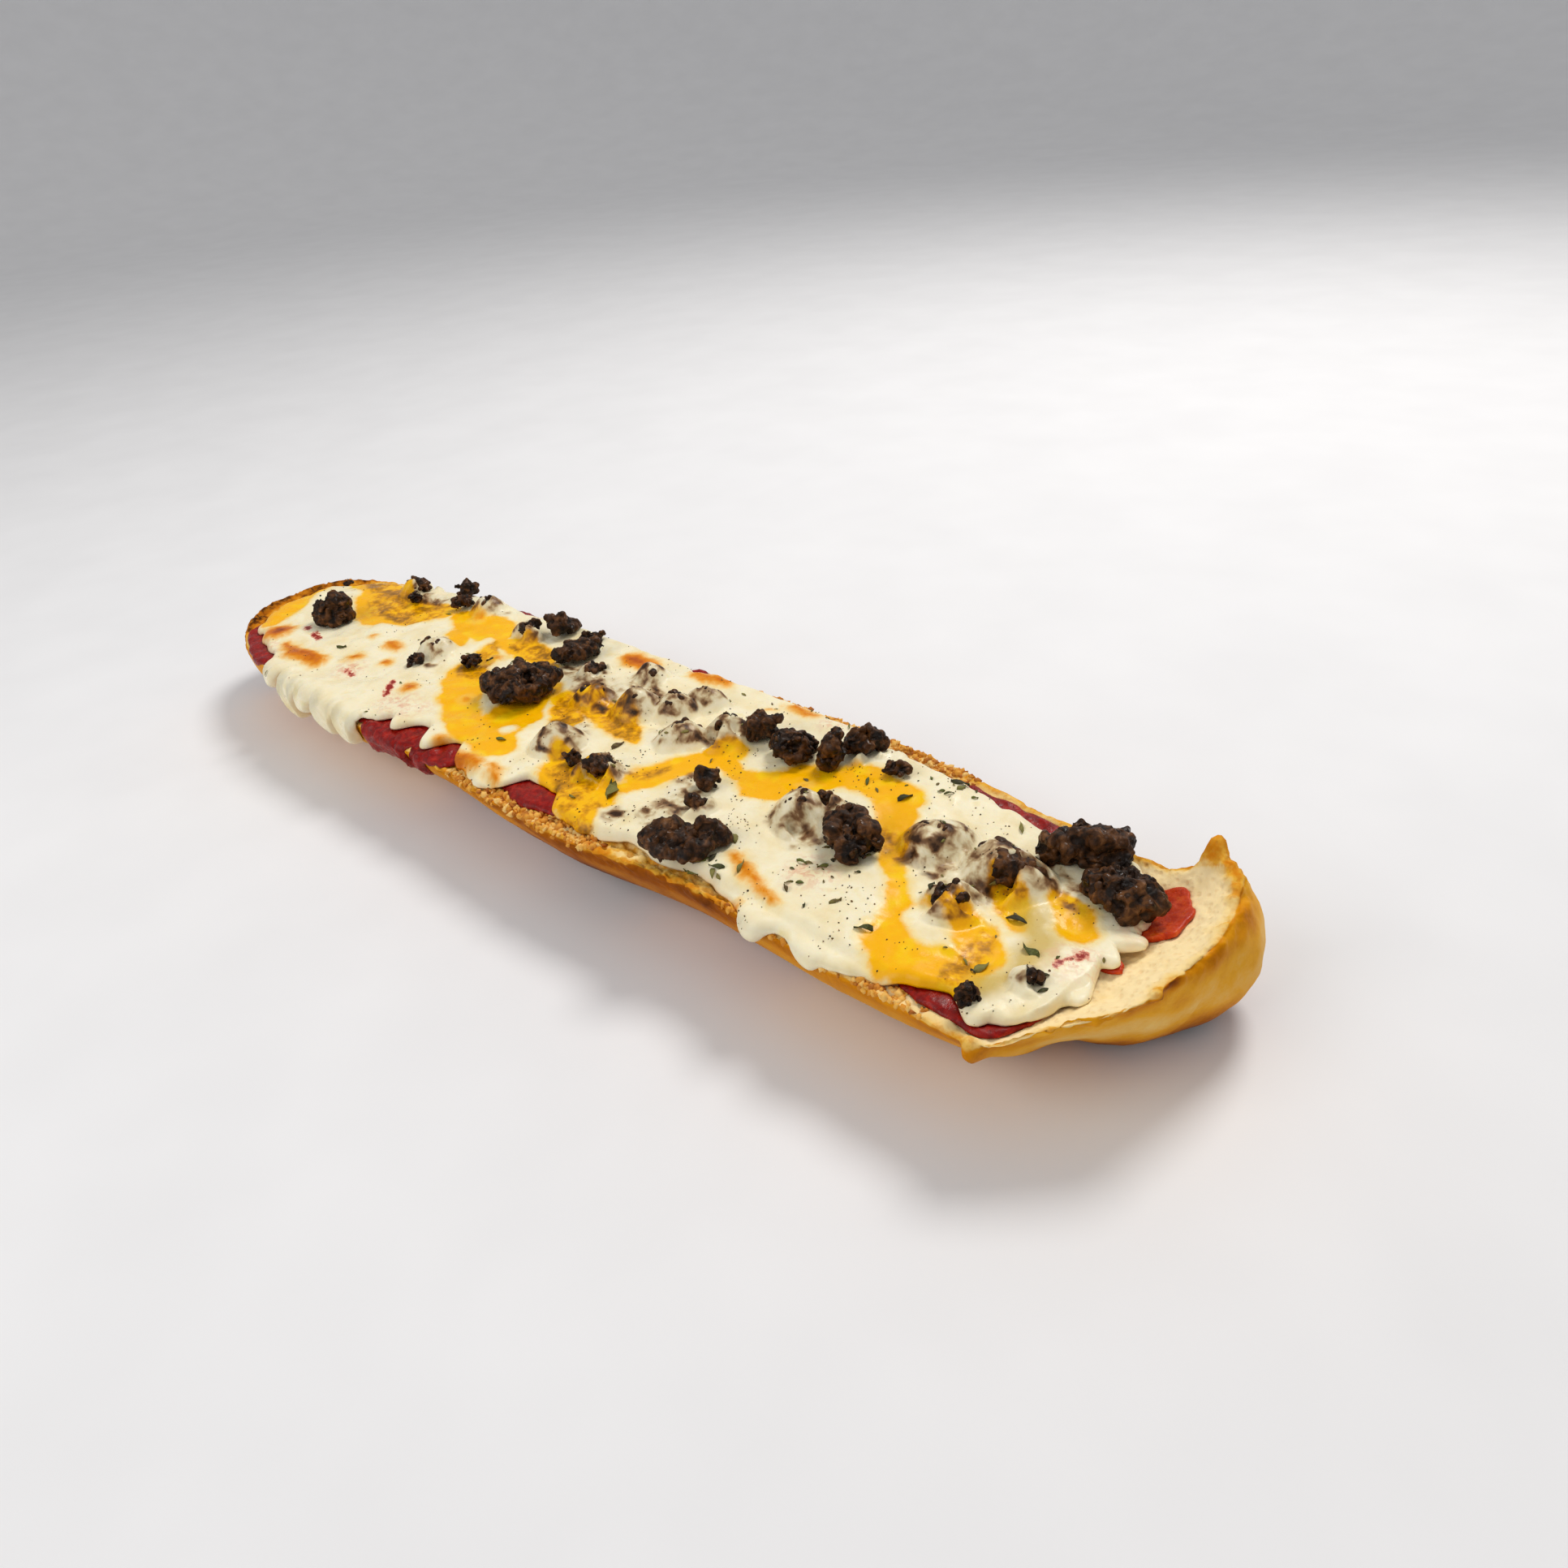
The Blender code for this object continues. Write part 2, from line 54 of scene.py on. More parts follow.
# The frame's origin in the loaf's own places
MIDDLE = (2.3, -1.1, 0)
NEAR_SIDE, RIGHT_END, FAR_SIDE, LEFT_END = range(4)

# Half loaf
CUT_FACE = 28.0
SPINE_LEFT, SPINE_RIGHT, SPINE_Y = -188.0, 182.0, -2.0
UNDERSIDE_POWER = 2.2
UNDERSIDE_DEPTH = 1.07
QUARTER_TURN = 28.0
BOTTOM = QUARTER_TURN * math.pi / 2
BULGE_POWER = 0.8
OPEN_FACE = 26
RIM_ROUND = 1.6
RIM_ROUND_SPAN = 12.0
RAMP_POWER = 1.4
# Points of the rim, from the pointed end along the near side and back: x, y, height,
# how far in the cut face starts to climb to the rim, and how far the crust bulges below it
RIM = [
    (-216.5, 2, 32.2, 9, 0), (-216, -11, 32.0, 9, 0), (-211.5, -21.5, 31.6, 9, 0),
    (-201.5, -31.5, 30.5, 8, 0), (-184, -40, 29.3, 7, 0), (-160, -44.5, 28.6, 6, 0),
    (-130, -46.5, 28.2, 6, 0), (-90, -48.5, 28.0, 6, -2), (-40, -50, 28.0, 6, -6),
    (0, -51.8, 27.6, 6, -4), (35, -52.5, 27.8, 6, -3), (62, -50, 29.2, 6, -3), (86, -48, 29.8, 6, -3),
    (112, -49, 28.6, 6, -3), (145, -50.5, 28.2, 7, -4), (172, -51.5, 29.0, 9, -7),
    (186, -52, 30.6, 12, -12), (194.5, -44, 33.5, 16, -13), (202.5, -35.5, 35.5, 18, -11),
    (209.5, -27, 37.0, 19, -8), (213.5, -12, 38.2, 20, -1), (215.5, 1, 38.4, 21, 4),
    (215, 13, 39.0, 21, 12), (212.5, 23, 39.6, 20, 15), (207.5, 30, 40.4, 18, 15),
    (201, 33.8, 41.2, 14, 10), (195, 32, 34.5, 10, 5), (184, 33, 31.4, 8, 2), (160, 37, 30.2, 6, 0),
    (130, 42.5, 29.6, 6, 0), (100, 47, 29.6, 6, 0), (50, 49.5, 29.4, 6, 0), (0, 50, 29.2, 6, 0),
    (-50, 49.5, 29.0, 6, 0), (-110, 48, 29.0, 6, 0), (-150, 43.5, 29.6, 6, 0), (-178, 38.5, 30.6, 7, 0),
    (-197, 31.5, 31.6, 8, 0), (-210, 23, 32.4, 9, 0), (-215, 13, 32.6, 9, 0),
]

# Layers, by the four sides of the loaf: each pair is a place along the side in x, or round an end in degrees,
# and how far the layer reaches along that column past the rim. Their edges are rounded over the edge width.
GAP = 0.5
SAUCE_THICK = 1.0
SAUCE_EDGE = 2.5
SAUCE_NEAR = [
    (-188, -4), (-165, -1), (-150, -3), (-88, -3), (-80, -2), (-72, 3), (-66, 2), (-59, 3), (-51, 0),
    (-44, 1), (-38, 3), (-21, -8), (-6, -9), (3, -6), (14, -4), (24, -6), (30, -9), (60, -10),
    (150, -9), (166, -4), (182, -4),
]
SAUCE_RIGHT = [
    (-90, -4), (-78, -7), (-62, -19), (-42, -23), (-24, -14), (0, -12), (35, -11), (65, -9), (90, -5),
]
SAUCE_FAR = [
    (-188, -6), (-120, -5), (-104, -1), (-96, -1), (-84, -5), (-12, -5), (0, -1), (10, -5), (58, -6),
    (68, -3), (78, -8), (115, -10), (126, -4), (152, -3.5), (164, -4), (182, -5),
]
SAUCE_LEFT = [(90, -8), (180, -13), (225, -8), (250, -4), (270, -4)]
SAUCE_REACH = (SAUCE_NEAR, SAUCE_RIGHT, SAUCE_FAR, SAUCE_LEFT)
# Least reach round the pointed end, most reach anywhere, and most round the torn end, where the sauce lies
# in patches
SAUCE_POINTED = [(232, -99), (244, -6), (254, -2), (268, -1.5)]
SAUCE_MOST = 9
SAUCE_PATCHES = [
    (-90, 9), (-56, 9), (-48, -18), (-34, -16), (-20, -17), (-8, -26), (12, -26), (22, -11), (90, 9),
]
CHEESE_THICK = 2.6
CHEESE_EDGE = 3.4
LUMP, LONG_LUMP = 0.5, 0.3
CHEESE_NEAR = [
    (-188, -9), (-178, -7), (-166, -6), (-158, 0), (-148, 1), (-120, 2), (-98, 2), (-86, 0), (-76, -4),
    (-69, -11), (-54, -13), (-44, -11), (-33, -13), (-24, -4), (-8, -2), (0, -5), (6, -14), (19, -14),
    (28, -6), (45, -5), (60, -7), (75, -5), (90, -6), (102, -3), (140, -1), (152, -3), (162, -7),
    (172, -10), (182, -8),
]
CHEESE_RIGHT = [
    (-90, -8), (-76, -9), (-60, -16), (-40, -20), (0, -21), (40, -21), (62, -16), (76, -8), (90, -4),
]
CHEESE_FAR = [
    (-188, -5), (-120, -2), (-104, -4), (-96, -4), (-84, -2), (-10, -3), (0, -5), (10, -3), (58, -3),
    (68, -6), (78, -5), (92, -8), (115, -8), (128, -8), (140, -9), (154, -9), (166, -5), (182, -5),
]
CHEESE_LEFT = [(90, -6), (120, -9), (180, -11), (225, -11), (250, -9), (270, -9)]
CHEESE_REACH = (CHEESE_NEAR, CHEESE_RIGHT, CHEESE_FAR, CHEESE_LEFT)
# Drips on the near side: place, half width, and how much further they run
DRIPS = [
    (-152, 5, 4), (-135, 5, 11), (-121, 5, 4), (-106, 6, 8), (-90, 6, 9),
    (-64, 5, 7), (-43, 5, 8), (113, 6, 5), (132, 5, 3), (178, 5, 4),
]

# Lobes at the right end: angle and half width in degrees, and how much further they run
RIGHT_LOBES = [(2, 13, 6), (-27, 9, 4), (-58, 7, 6), (-74, 6, 3)]

# Patches of the cheese, each a brush stroke through knots of x, y and half width
CHEDDAR = [
    [(-209, 20, 1.5), (-206, 10, 2.5), (-203, 1, 4.5), (-200, -8, 7), (-195, -17, 7), (-190, -24, 4)],
    [(-195, 22, 4), (-182, 24, 8), (-168, 18, 13), (-155, 11, 13), (-145, 16, 12), (-132, 24, 7)],
    [(-121, 27, 5), (-108, 25, 9), (-96, 24, 9), (-88, 22, 5)], [(-106, 16, 5), (-100, 10, 4)],
    [(-84, 18, 3), (-74, 21, 7), (-62, 20, 6), (-50, 17, 3)],
    [(-84, 14, 3), (-80, 6, 6), (-75, -4, 7), (-68, -12, 8), (-59, -19, 8), (-47, -26, 7), (-36, -33, 6)],
    [(-36, 5, 5), (-34, -8, 7), (-30, -18, 11), (-27, -28, 11), (-18, -34, 7)],
    [(-26, 3, 5), (-14, 5, 7), (0, 2, 7), (14, -2, 5), (22, -4, 2)],
    [(-20, -3, 5), (-10, -9, 6), (-4, -20, 3)],
    [(8, -27, 5), (14, -34, 7), (26, -38, 8), (40, -45, 5)], [(22, -24, 3), (34, -30, 4), (39, -36, 5)],
    [(38, -26, 3), (40, -17, 6), (46, -8, 7), (50, 1, 6), (54, 9, 5)],
    [(52, 5, 5), (62, 0, 3), (75, -1, 7), (83, 6, 9), (80, 12, 5)],
    [(83, 7, 7), (90, 16, 6), (100, 20, 7), (110, 18, 7), (118, 9, 6), (122, 2, 5), (128, -5, 3.5)],
    [(122, 2, 4), (117, -1, 5)],
    [(128, -5, 3.5), (135, -15, 2.2), (142, -25, 4), (147, -33, 7), (158, -39, 9)],
    [(158, -39, 9), (168, -36, 8), (171, -27, 6), (164, -20, 6)], [(150, -24, 5), (160, -19, 5)],
    [(160, -3, 3), (166, -7, 5), (172, -12, 2.5)], [(174, 3, 3), (180, 0, 5), (185, -6, 4)],
]
WHITE_SPOTS = [
    [(-23, -24, 3.5)], [(149, -24, 4.5), (156, -28, 5)], [(160, -12, 2.5), (166, -14, 2)], [(-90, 8, 3)],
]
MOTTLED = [
    [(-190, 26, 5), (-176, 24, 8), (-160, 16, 11), (-140, 18, 12)], [(-84, 14, 4), (-79, 4, 8), (-73, -4, 6)],
    [(-24, 4, 6), (-12, -8, 7), (-5, -20, 4)], [(-14, 4, 9), (4, 2, 8), (18, -3, 5)],
    [(12, -30, 6), (40, -44, 7)], [(165, -10, 3), (169, -24, 4), (168, -38, 4)],
    [(-74, 22, 6), (-52, 19, 5)], [(36, -20, 3), (42, -12, 3)], [(176, 6, 3), (182, 4, 3)],
    [(118, 3, 3), (127, -5, 3)],
]
BROWNED = [
    [(-178, -27, 7.5)], [(-163, -31, 2.5), (-152, -34, 5), (-138, -32, 4.5)], [(-127, -22, 4)],
    [(-124, -7, 3), (-118, -7, 2.5)], [(-111, -17, 3)], [(-137, -7, 1.5)], [(-82, -25, 3.5)],
    [(-26, 37, 5.5), (-17, 37, 5)], [(4, 42, 3.5), (18, 42, 3)], [(50, 42, 3), (60, 41, 2.5)], [(44, 36, 2)],
    [(92, -33, 2.8), (102, -37, 2.2), (113, -41, 1.8)], [(-56, -18, 2)],
    [(-38, -42, 3), (-26, -46, 4), (-14, -44, 3)],
    [(-112, 28, 2.5)], [(-75, 10, 2)], [(86, 6, 1)], [(105, -47, 1.5)], [(-9, -42, 2), (-2, -46, 2.5)],
]
SAUCE_BITS = [
    [(-171, -17, 1.6), (-168, -19, 1.2)], [(-162, -19, 1.6), (-156, -21, 1.4)],
    [(-91, -27, 1.5), (-86, -33, 1.7)], [(187, -20, 1.6)], [(190, -13, 1.2), (189, -17, 1)],
    [(-120, -30, 1), (-114, -31, 1)],
]
STAINED = [
    [(-198, -28, 5), (-190, -34, 5), (-182, -36, 5)], [(-180, -34, 5), (-160, -42, 4)],
    [(-120, -28, 6)], [(-80, -34, 5), (-68, -34, 5)], [(196, 4, 4), (194, 16, 4)],
    [(190, -16, 5)], [(-90, 46, 4)], [(70, 38, 3)], [(160, 31, 3)], [(115, -26, 6)],
]
FILM_FLATS = [
    [(55, -12, 5), (60, -22, 7), (58, -32, 6)], [(92, -10, 6), (104, -15, 5)], [(28, 4, 7), (40, 10, 6)],
    [(144, -6, 6), (154, -10, 5), (163, -4, 4)], [(166, 12, 6), (174, 8, 5)], [(-106, 36, 4)], [(-94, -8, 4)],
    [(-46, 22, 5), (-32, 19, 7), (-18, 14, 9), (-8, 8, 8)], [(-10, 26, 6), (4, 18, 8), (18, 24, 7)],
    [(-2, -12, 6), (8, -24, 5)], [(132, -2, 6), (142, 1, 5)], [(20, -24, 4), (32, -22, 4)], [(48, -38, 4)],
    [(178, 3, 4)], [(150, 10, 4)], [(-82, 3, 4)], [(-152, 28, 5), (-134, 32, 4)], [(-74, 27, 4)],
]
OLIVE = [[(172, -6, 4), (180, -14, 5), (182, -28, 4), (176, -36, 4)]]
# Crumbles that a film of cheese lies over, by number, and how much of each it covers
FILMED = {
    3: 0.6, 6: 0.7, 8: 0.4, 12: 0.35, 16: 0.35, 17: 0.9, 18: 0.75, 19: 0.85, 20: 0.95, 21: 0.9, 22: 0.7,
    24: 0.3, 25: 0.85, 26: 0.5, 33: 0.4, 35: 0.7, 37: 0.92, 38: 0.7, 39: 0.6, 30: 0.3, 43: 0.35,
}

# The larger dried herb leaves: x, y, length, turn in degrees
LEAVES = [
    (91, -39, 5, 20), (97, -36, 5, 110), (86, -26, 5, 140), (124, 33, 6, 15), (115, 17, 5, 60),
    (18, -10, 5, 80), (38, -30, 8, 115), (141, -36, 5, 35), (170, -10, 6, 10), (179, -20, 6, 160),
    (128, -32, 4, 70), (150, 24, 5, 130), (-20, -30, 4, 20), (-62, 12, 4, 100), (-140, -20, 4, 45),
    (110, -24, 4, 0), (172, -31, 5, 75), (86, -40, 5, 60), (83, -38, 6, 150), (88, -37, 4, 100),
    (84, -42, 4, 10), (91, -41, 5, 130), (80, -39, 4, 80),
]
HERB_COUNT = 150
HERB_THICK = 0.16

# Beef crumbles: their numbers, how far apart their granules lie, and how many places are tried for each
CRUMBLES = range(1, 44)
GRANULE_SPACING = 1.8
GRANULE_TRIES = 5
# Radii of small and large granules, the share that is small, how each is stretched along its three axes, and
# how deep in its own radius a large one sits in the crumble
SMALL_GRANULE, LARGE_GRANULE = (0.5, 1.0), (1.4, 2.5)
SMALL_SHARE = 0.35
GRANULE_STRETCH = (0.65, 1.4)
LARGE_SUNK = 0.75
# Depth of the notches and cracks between granules, and size of the core against the CAD solid
NOTCH_DEPTH = 5.0
CRACK_DEPTH = 0.9
CORE_SHARE = 0.5
# Voxels that fuse a crumble of fewer granules than this, and a larger one
FEW_GRANULES = 90
FINE_VOXEL, COARSE_VOXEL = 0.36, 0.42

# Film of cheese over a crumble: how steeply its domes fall, their roundness in radii, how sharply the
# highest of them wins, and a height near them all
FILM_FALL = 1.3
FILM_ROUND = 1.7
FILM_SHARP = 1.8
FILM_LEVEL = 30
# How far past its granules a film is looked for, and how strongly it shows the meat where it is highest
FILM_MARGIN = 8
FILM_VEIL = 0.56

# Camera, worked out from the vanishing points of the photo: place in loaf millimetres and its own axes
CAMERA_PLACE = (283.8, -208.5, 221.5)
CAMERA_RIGHT = (0.75246, 0.65359, -0.08142)
CAMERA_DOWN = (0.30352, -0.45380, -0.83782)
CAMERA_FORWARD = (-0.58453, 0.60572, -0.53984)
CAMERA_LENS = 26.16


def lattice(cell, seed):
    """A repeatable random number from -1 to 1 for each whole-number cell: an integer hash of its three
    coordinates and the seed."""
    x, y, z = (cell[..., i].astype(np.int64) for i in range(3))
    n = (x * 374761393 + y * 668265263 + z * 974634541 + seed * 1442695041) & 0xFFFFFFFF
    n = ((n ^ (n >> 13)) * 1274126177) & 0xFFFFFFFF
    return ((n ^ (n >> 16)) & 0xFFFF) / 32767.5 - 1


def noise(points, size, seed=0):
    """Random numbers at the corners of cubes of that size, blended between them by smooth steps."""
    p = points / size
    cell = np.floor(p)
    part = p - cell
    part = part * part * (3 - 2 * part)
    total = 0
    for corner in itertools.product((0, 1), repeat=3):
        weight = np.prod(np.where(corner, part, 1 - part), axis=-1)
        total = total + weight * lattice(cell + corner, seed)
    return total


def rough(points, size, seed=0, octaves=3):
    """Sum of noises, each at half the size and half the strength of the one before."""
    return sum(noise(points, size / 2**k, seed + k) / 2**k for k in range(octaves)) / (2 - 2 ** (1 - octaves))


def pores(points, size, seed=0):
    """Distance to the nearest of many points strewn one to a cube of that size, in cube sizes."""
    p = points / size
    cell = np.floor(p)
    nearest = np.full(p.shape[:-1], 9.0)
    for step in itertools.product((-1, 0, 1), repeat=3):
        there = cell + step
        spot = there + 0.5 + 0.45 * np.stack([lattice(there, seed + k) for k in range(3)], axis=-1)
        nearest = np.minimum(nearest, np.linalg.norm(p - spot, axis=-1))
    return nearest


def smooth_step(low, high, value):
    """0 below low, 1 above high, eased between."""
    u = np.clip((value - low) / (high - low), 0, 1)
    return u * u * (3 - 2 * u)


def between(start, full, fading, end, value):
    """0 outside start and end, 1 from full to fading, eased between."""
    return smooth_step(start, full, value) * smooth_step(end, fading, value)


def bell(value, middle, width):
    """A bell curve of height 1 that has fallen to about a third at that width from its middle."""
    return np.exp(-(((value - middle) / width) ** 2))


def depth_in(strokes, x, y):
    """How deep each place lies inside the nearest brush stroke, in millimetres: the half width there, which
    goes evenly from knot to knot, less the distance from the stroke's line."""
    depth = np.full(x.shape, -99.0)
    for knots in strokes:
        for (x0, y0, r0), (x1, y1, r1) in zip(knots, knots[1:] or knots):
            dx, dy = x1 - x0, y1 - y0
            along = np.clip(((x - x0) * dx + (y - y0) * dy) / max(dx * dx + dy * dy, 1e-6), 0, 1)
            away = np.hypot(x - x0 - along * dx, y - y0 - along * dy)
            depth = np.maximum(depth, r0 + (r1 - r0) * along - away)
    return depth


def mask(depth, at_edge, run, most=1):
    """Value of a patch from its depth: at_edge on its outline and 1 more for each run inwards, kept from 0
    to most."""
    return np.clip(at_edge + depth / run, 0, most)


def closed_curve(points, steps):
    """Catmull-Rom curve through a ring of points, with that many steps from one point to the next."""
    p1 = np.array(points, float)[:, None, :]
    p0, p2, p3 = (np.roll(p1, shift, axis=0) for shift in (1, -1, -2))
    u = (np.arange(steps) / steps)[None, :, None]
    curve = 0.5 * (2 * p1 + (p2 - p0) * u + (2 * p0 - 5 * p1 + 4 * p2 - p3) * u**2
                   + (3 * p1 - p0 - 3 * p2 + p3) * u**3)
    return curve.reshape(-1, p1.shape[2])


def eased(knots, places):
    """Values between knots, level at each knot and eased from one to the next."""
    at, value = np.array(knots, float).T
    k = np.clip(np.searchsorted(at, places) - 1, 0, len(at) - 2)
    u = np.clip((places - at[k]) / (at[k + 1] - at[k]), 0, 1)
    return value[k] + (value[k + 1] - value[k]) * u * u * (3 - 2 * u)


class Columns:
    """Columns round the loaf: near side, right end, far side, left end. Each holds its foot on the spine,
    the way it runs outwards, and the rim's reach, height, ramp and bulge there."""

    def __init__(self, per_side, per_right, per_left):
        curve = closed_curve(RIM, 24)
        x_side = np.linspace(SPINE_LEFT, SPINE_RIGHT, per_side + 1)
        right_fan = np.linspace(-90, 90, per_right + 1)[1:-1]
        left_fan = np.linspace(90, 270, per_left + 1)[1:-1]
        near = self.along(curve[curve[:, 1] < SPINE_Y], x_side)
        far = self.along(curve[curve[:, 1] > SPINE_Y], x_side[::-1])
        right = self.around(curve, SPINE_RIGHT, right_fan)
        left = self.around(curve, SPINE_LEFT, left_fan)
        right_foot, left_foot = np.full(len(right_fan), SPINE_RIGHT), np.full(len(left_fan), SPINE_LEFT)
        self.foot = np.concatenate([x_side, right_foot, x_side[::-1], left_foot])
        side_angle = np.full(per_side + 1, 90.0)
        self.angle = np.concatenate([-side_angle, right_fan, side_angle, left_fan])
        self.reach, self.height, self.ramp, self.bulge = np.concatenate([near, right, far, left]).T
        self.part = np.repeat(range(4), [per_side + 1, len(right_fan), per_side + 1, len(left_fan)])

    @staticmethod
    def along(side, places):
        side = side[np.argsort(side[:, 0])]
        reach = np.abs(side[:, 1] - SPINE_Y)
        return np.stack([np.interp(places, side[:, 0], v) for v in (reach, *side[:, 2:].T)], axis=1)

    @staticmethod
    def around(curve, foot, angles):
        rel = curve[:, :2] - (foot, SPINE_Y)
        turn = np.degrees(np.arctan2(rel[:, 1], rel[:, 0]))
        turn = np.where(turn < angles[0] - 60, turn + 360, turn)
        order = np.argsort(turn)
        values = (np.hypot(*rel.T), *curve[:, 2:].T)
        return np.stack([np.interp(angles, turn[order], v[order]) for v in values], axis=1)

    def rolled(self, steps):
        """The same columns, each standing in the place of a neighbour."""
        other = object.__new__(Columns)
        for name, value in self.__dict__.items():
            setattr(other, name, np.roll(value, steps))
        return other

    def layer_reach(self, sides):
        """How far a layer reaches along each column past the rim."""
        places = (self.foot, self.angle, self.foot, self.angle)
        return np.choose(self.part, [eased(knots, place) for knots, place in zip(sides, places)])


def undulation(x, y):
    """Low swell of the cut face, the same from every column: two short waves crossed, and a long one."""
    return 0.3 * np.sin(x / 23 + 1.0) * np.cos(y / 19 + x / 61) + 0.2 * np.sin(x / 41 - y / 27)


def sharp_section(c, col):
    """Distance from the spine and height at c along the columns, with the rim sharp. The cut face
    is level and ramps up to the rim by a power law. The underside is a superellipse, cut at the floor."""
    climb = np.clip(1 + c / col.ramp, 0, 1) ** RAMP_POWER
    top = CUT_FACE + (col.height - CUT_FACE) * climb
    turn = np.clip(c / QUARTER_TURN, 0, math.pi / 2)
    power = 2 / UNDERSIDE_POWER
    out = np.cos(turn) ** power * col.reach + col.bulge * np.sin(2 * turn) ** BULGE_POWER
    drop = np.clip(1 - UNDERSIDE_DEPTH * np.sin(turn) ** power, 0, 1)
    on_top = c <= 0
    return np.where(on_top, col.reach + np.minimum(c, 0), out), np.where(on_top, top, col.height * drop)


def bread_surface(c, col):
    """Points of the bread, in millimetres, at c along the columns. The rim is rounded by averaging the sharp
    section over a short span each way."""
    span = RIM_ROUND * np.clip(1 - (c / RIM_ROUND_SPAN) ** 2, 0, 1)
    sections = [sharp_section(c + k * span, col) for k in (-1, -0.5, 0, 0.5, 1)]
    out = sum(s[0] for s in sections) / len(sections)
    z = sum(s[1] for s in sections) / len(sections)
    x = col.foot + out * np.cos(np.radians(col.angle))
    y = SPINE_Y + out * np.sin(np.radians(col.angle))
    return np.stack([x, y, z + undulation(x, y) * np.clip(-c / 8, 0, 1)], axis=-1)


def outward(c, col):
    """Unit normals of the bread at c along the columns, straight up on the cut face away from the rim."""
    along = bread_surface(c + 0.5, col) - bread_surface(c - 0.5, col)
    across = bread_surface(c, col.rolled(-3)) - bread_surface(c, col.rolled(3))
    normal = np.cross(along, across)
    normal /= np.maximum(np.linalg.norm(normal, axis=-1, keepdims=True), 1e-9)
    near_rim = np.clip((c + 9) / 5, 0, 1)[..., None]
    mixed = normal * near_rim + np.array([0, 0, 1.0]) * (1 - near_rim)
    return mixed / np.linalg.norm(mixed, axis=-1, keepdims=True)


def ring_faces(rows, columns):
    """Triangles between neighbouring rows of a grid that closes on itself along its rows."""
    r, k = np.meshgrid(np.arange(rows - 1), np.arange(columns), indexing="ij")
    a, b = r * columns + k, r * columns + (k + 1) % columns
    c, d = b + columns, a + columns
    return np.stack([a, c, b, a, d, c], axis=-1).reshape(-1, 3)


def welded(points, shape, values):
    """A grid of that shape as a mesh, with points that share a place made one, and triangles that this closes
    left out."""
    points = points.reshape(-1, 3)
    _, first, index = np.unique(np.round(points, 4), axis=0, return_index=True, return_inverse=True)
    faces = index.reshape(-1)[ring_faces(*shape)]
    whole = (faces[:, 0] != faces[:, 1]) & (faces[:, 1] != faces[:, 2]) & (faces[:, 2] != faces[:, 0])
    return points[first], faces[whole], {name: value.reshape(-1)[first] for name, value in values.items()}


def normals_of(points, faces):
    """Unit normal at each point: the sum of the areas of its faces as vectors."""
    a, b, c = (points[faces[:, i]] for i in range(3))
    area = np.cross(b - a, c - a)
    total = np.stack([
        np.bincount(faces.reshape(-1), np.repeat(area[:, i], 3), len(points)) for i in range(3)
    ], axis=-1)
    return total / np.maximum(np.linalg.norm(total, axis=1, keepdims=True), 1e-12)


def shown(name, data):
    """An object for that mesh, light or camera, in the scene."""
    thing = bpy.data.objects.new(name, data)
    bpy.context.scene.collection.objects.link(thing)
    return thing


def read(items, key, width=3, kind=np.float32):
    """One property of all items of a mesh's vertices, loops or faces, as rows of that width."""
    values = np.empty(len(items) * width, kind)
    items.foreach_get(key, values)
    return values.reshape(-1, width)


def loaf_points(mesh):
    """The mesh's points in loaf millimetres."""
    return read(mesh.vertices, "co") / MM + MIDDLE


def points_and_triangles(mesh):
    mesh.calc_loop_triangles()
    return loaf_points(mesh), read(mesh.loop_triangles, "vertices", 3, np.int32)


def new_mesh(name, points, faces):
    """A mesh of the frame from points in loaf millimetres and faces that all have as many corners."""
    mesh = bpy.data.meshes.new(name)
    placed = (points - MIDDLE) * MM
    mesh.vertices.add(len(placed))
    mesh.vertices.foreach_set("co", placed.astype(np.float32).reshape(-1))
    mesh.loops.add(faces.size)
    mesh.loops.foreach_set("vertex_index", faces.astype(np.int32).reshape(-1))
    mesh.polygons.add(len(faces))
    mesh.polygons.foreach_set("loop_start", np.arange(0, faces.size, faces.shape[1], dtype=np.int32))
    mesh.update(calc_edges=True)
    return mesh


def add_piece(name, points, faces, material, values=None, replaces=()):
    """A shown piece with its faces outwards and one attribute for each named array of values. It rides on the
    one body and stands for the CAD nodes that it replaces."""
    corners = points[faces]
    if np.einsum("ij,ij->i", corners[:, 0], np.cross(corners[:, 1], corners[:, 2])).sum() < 0:
        faces = faces[:, ::-1]
    mesh = new_mesh(name, points, faces)
    mesh.validate()
    mesh.shade_smooth()
    for key, value in (values or {}).items():
        layer = mesh.attributes.new(key, "FLOAT", "POINT")
        layer.data.foreach_set("value", np.ascontiguousarray(value, np.float32))
    mesh.materials.append(material)
    piece = shown(name, mesh)
    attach(piece, "root")
    if replaces:
        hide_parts(*replaces)
    return piece


def paint(red, green, blue):
    """A colour from 0 to 255 as the linear values that a shader takes."""
    s = np.array([red, green, blue]) / 255
    return (*np.where(s <= 0.04045, s / 12.92, ((s + 0.055) / 1.055) ** 2.4), 1.0)


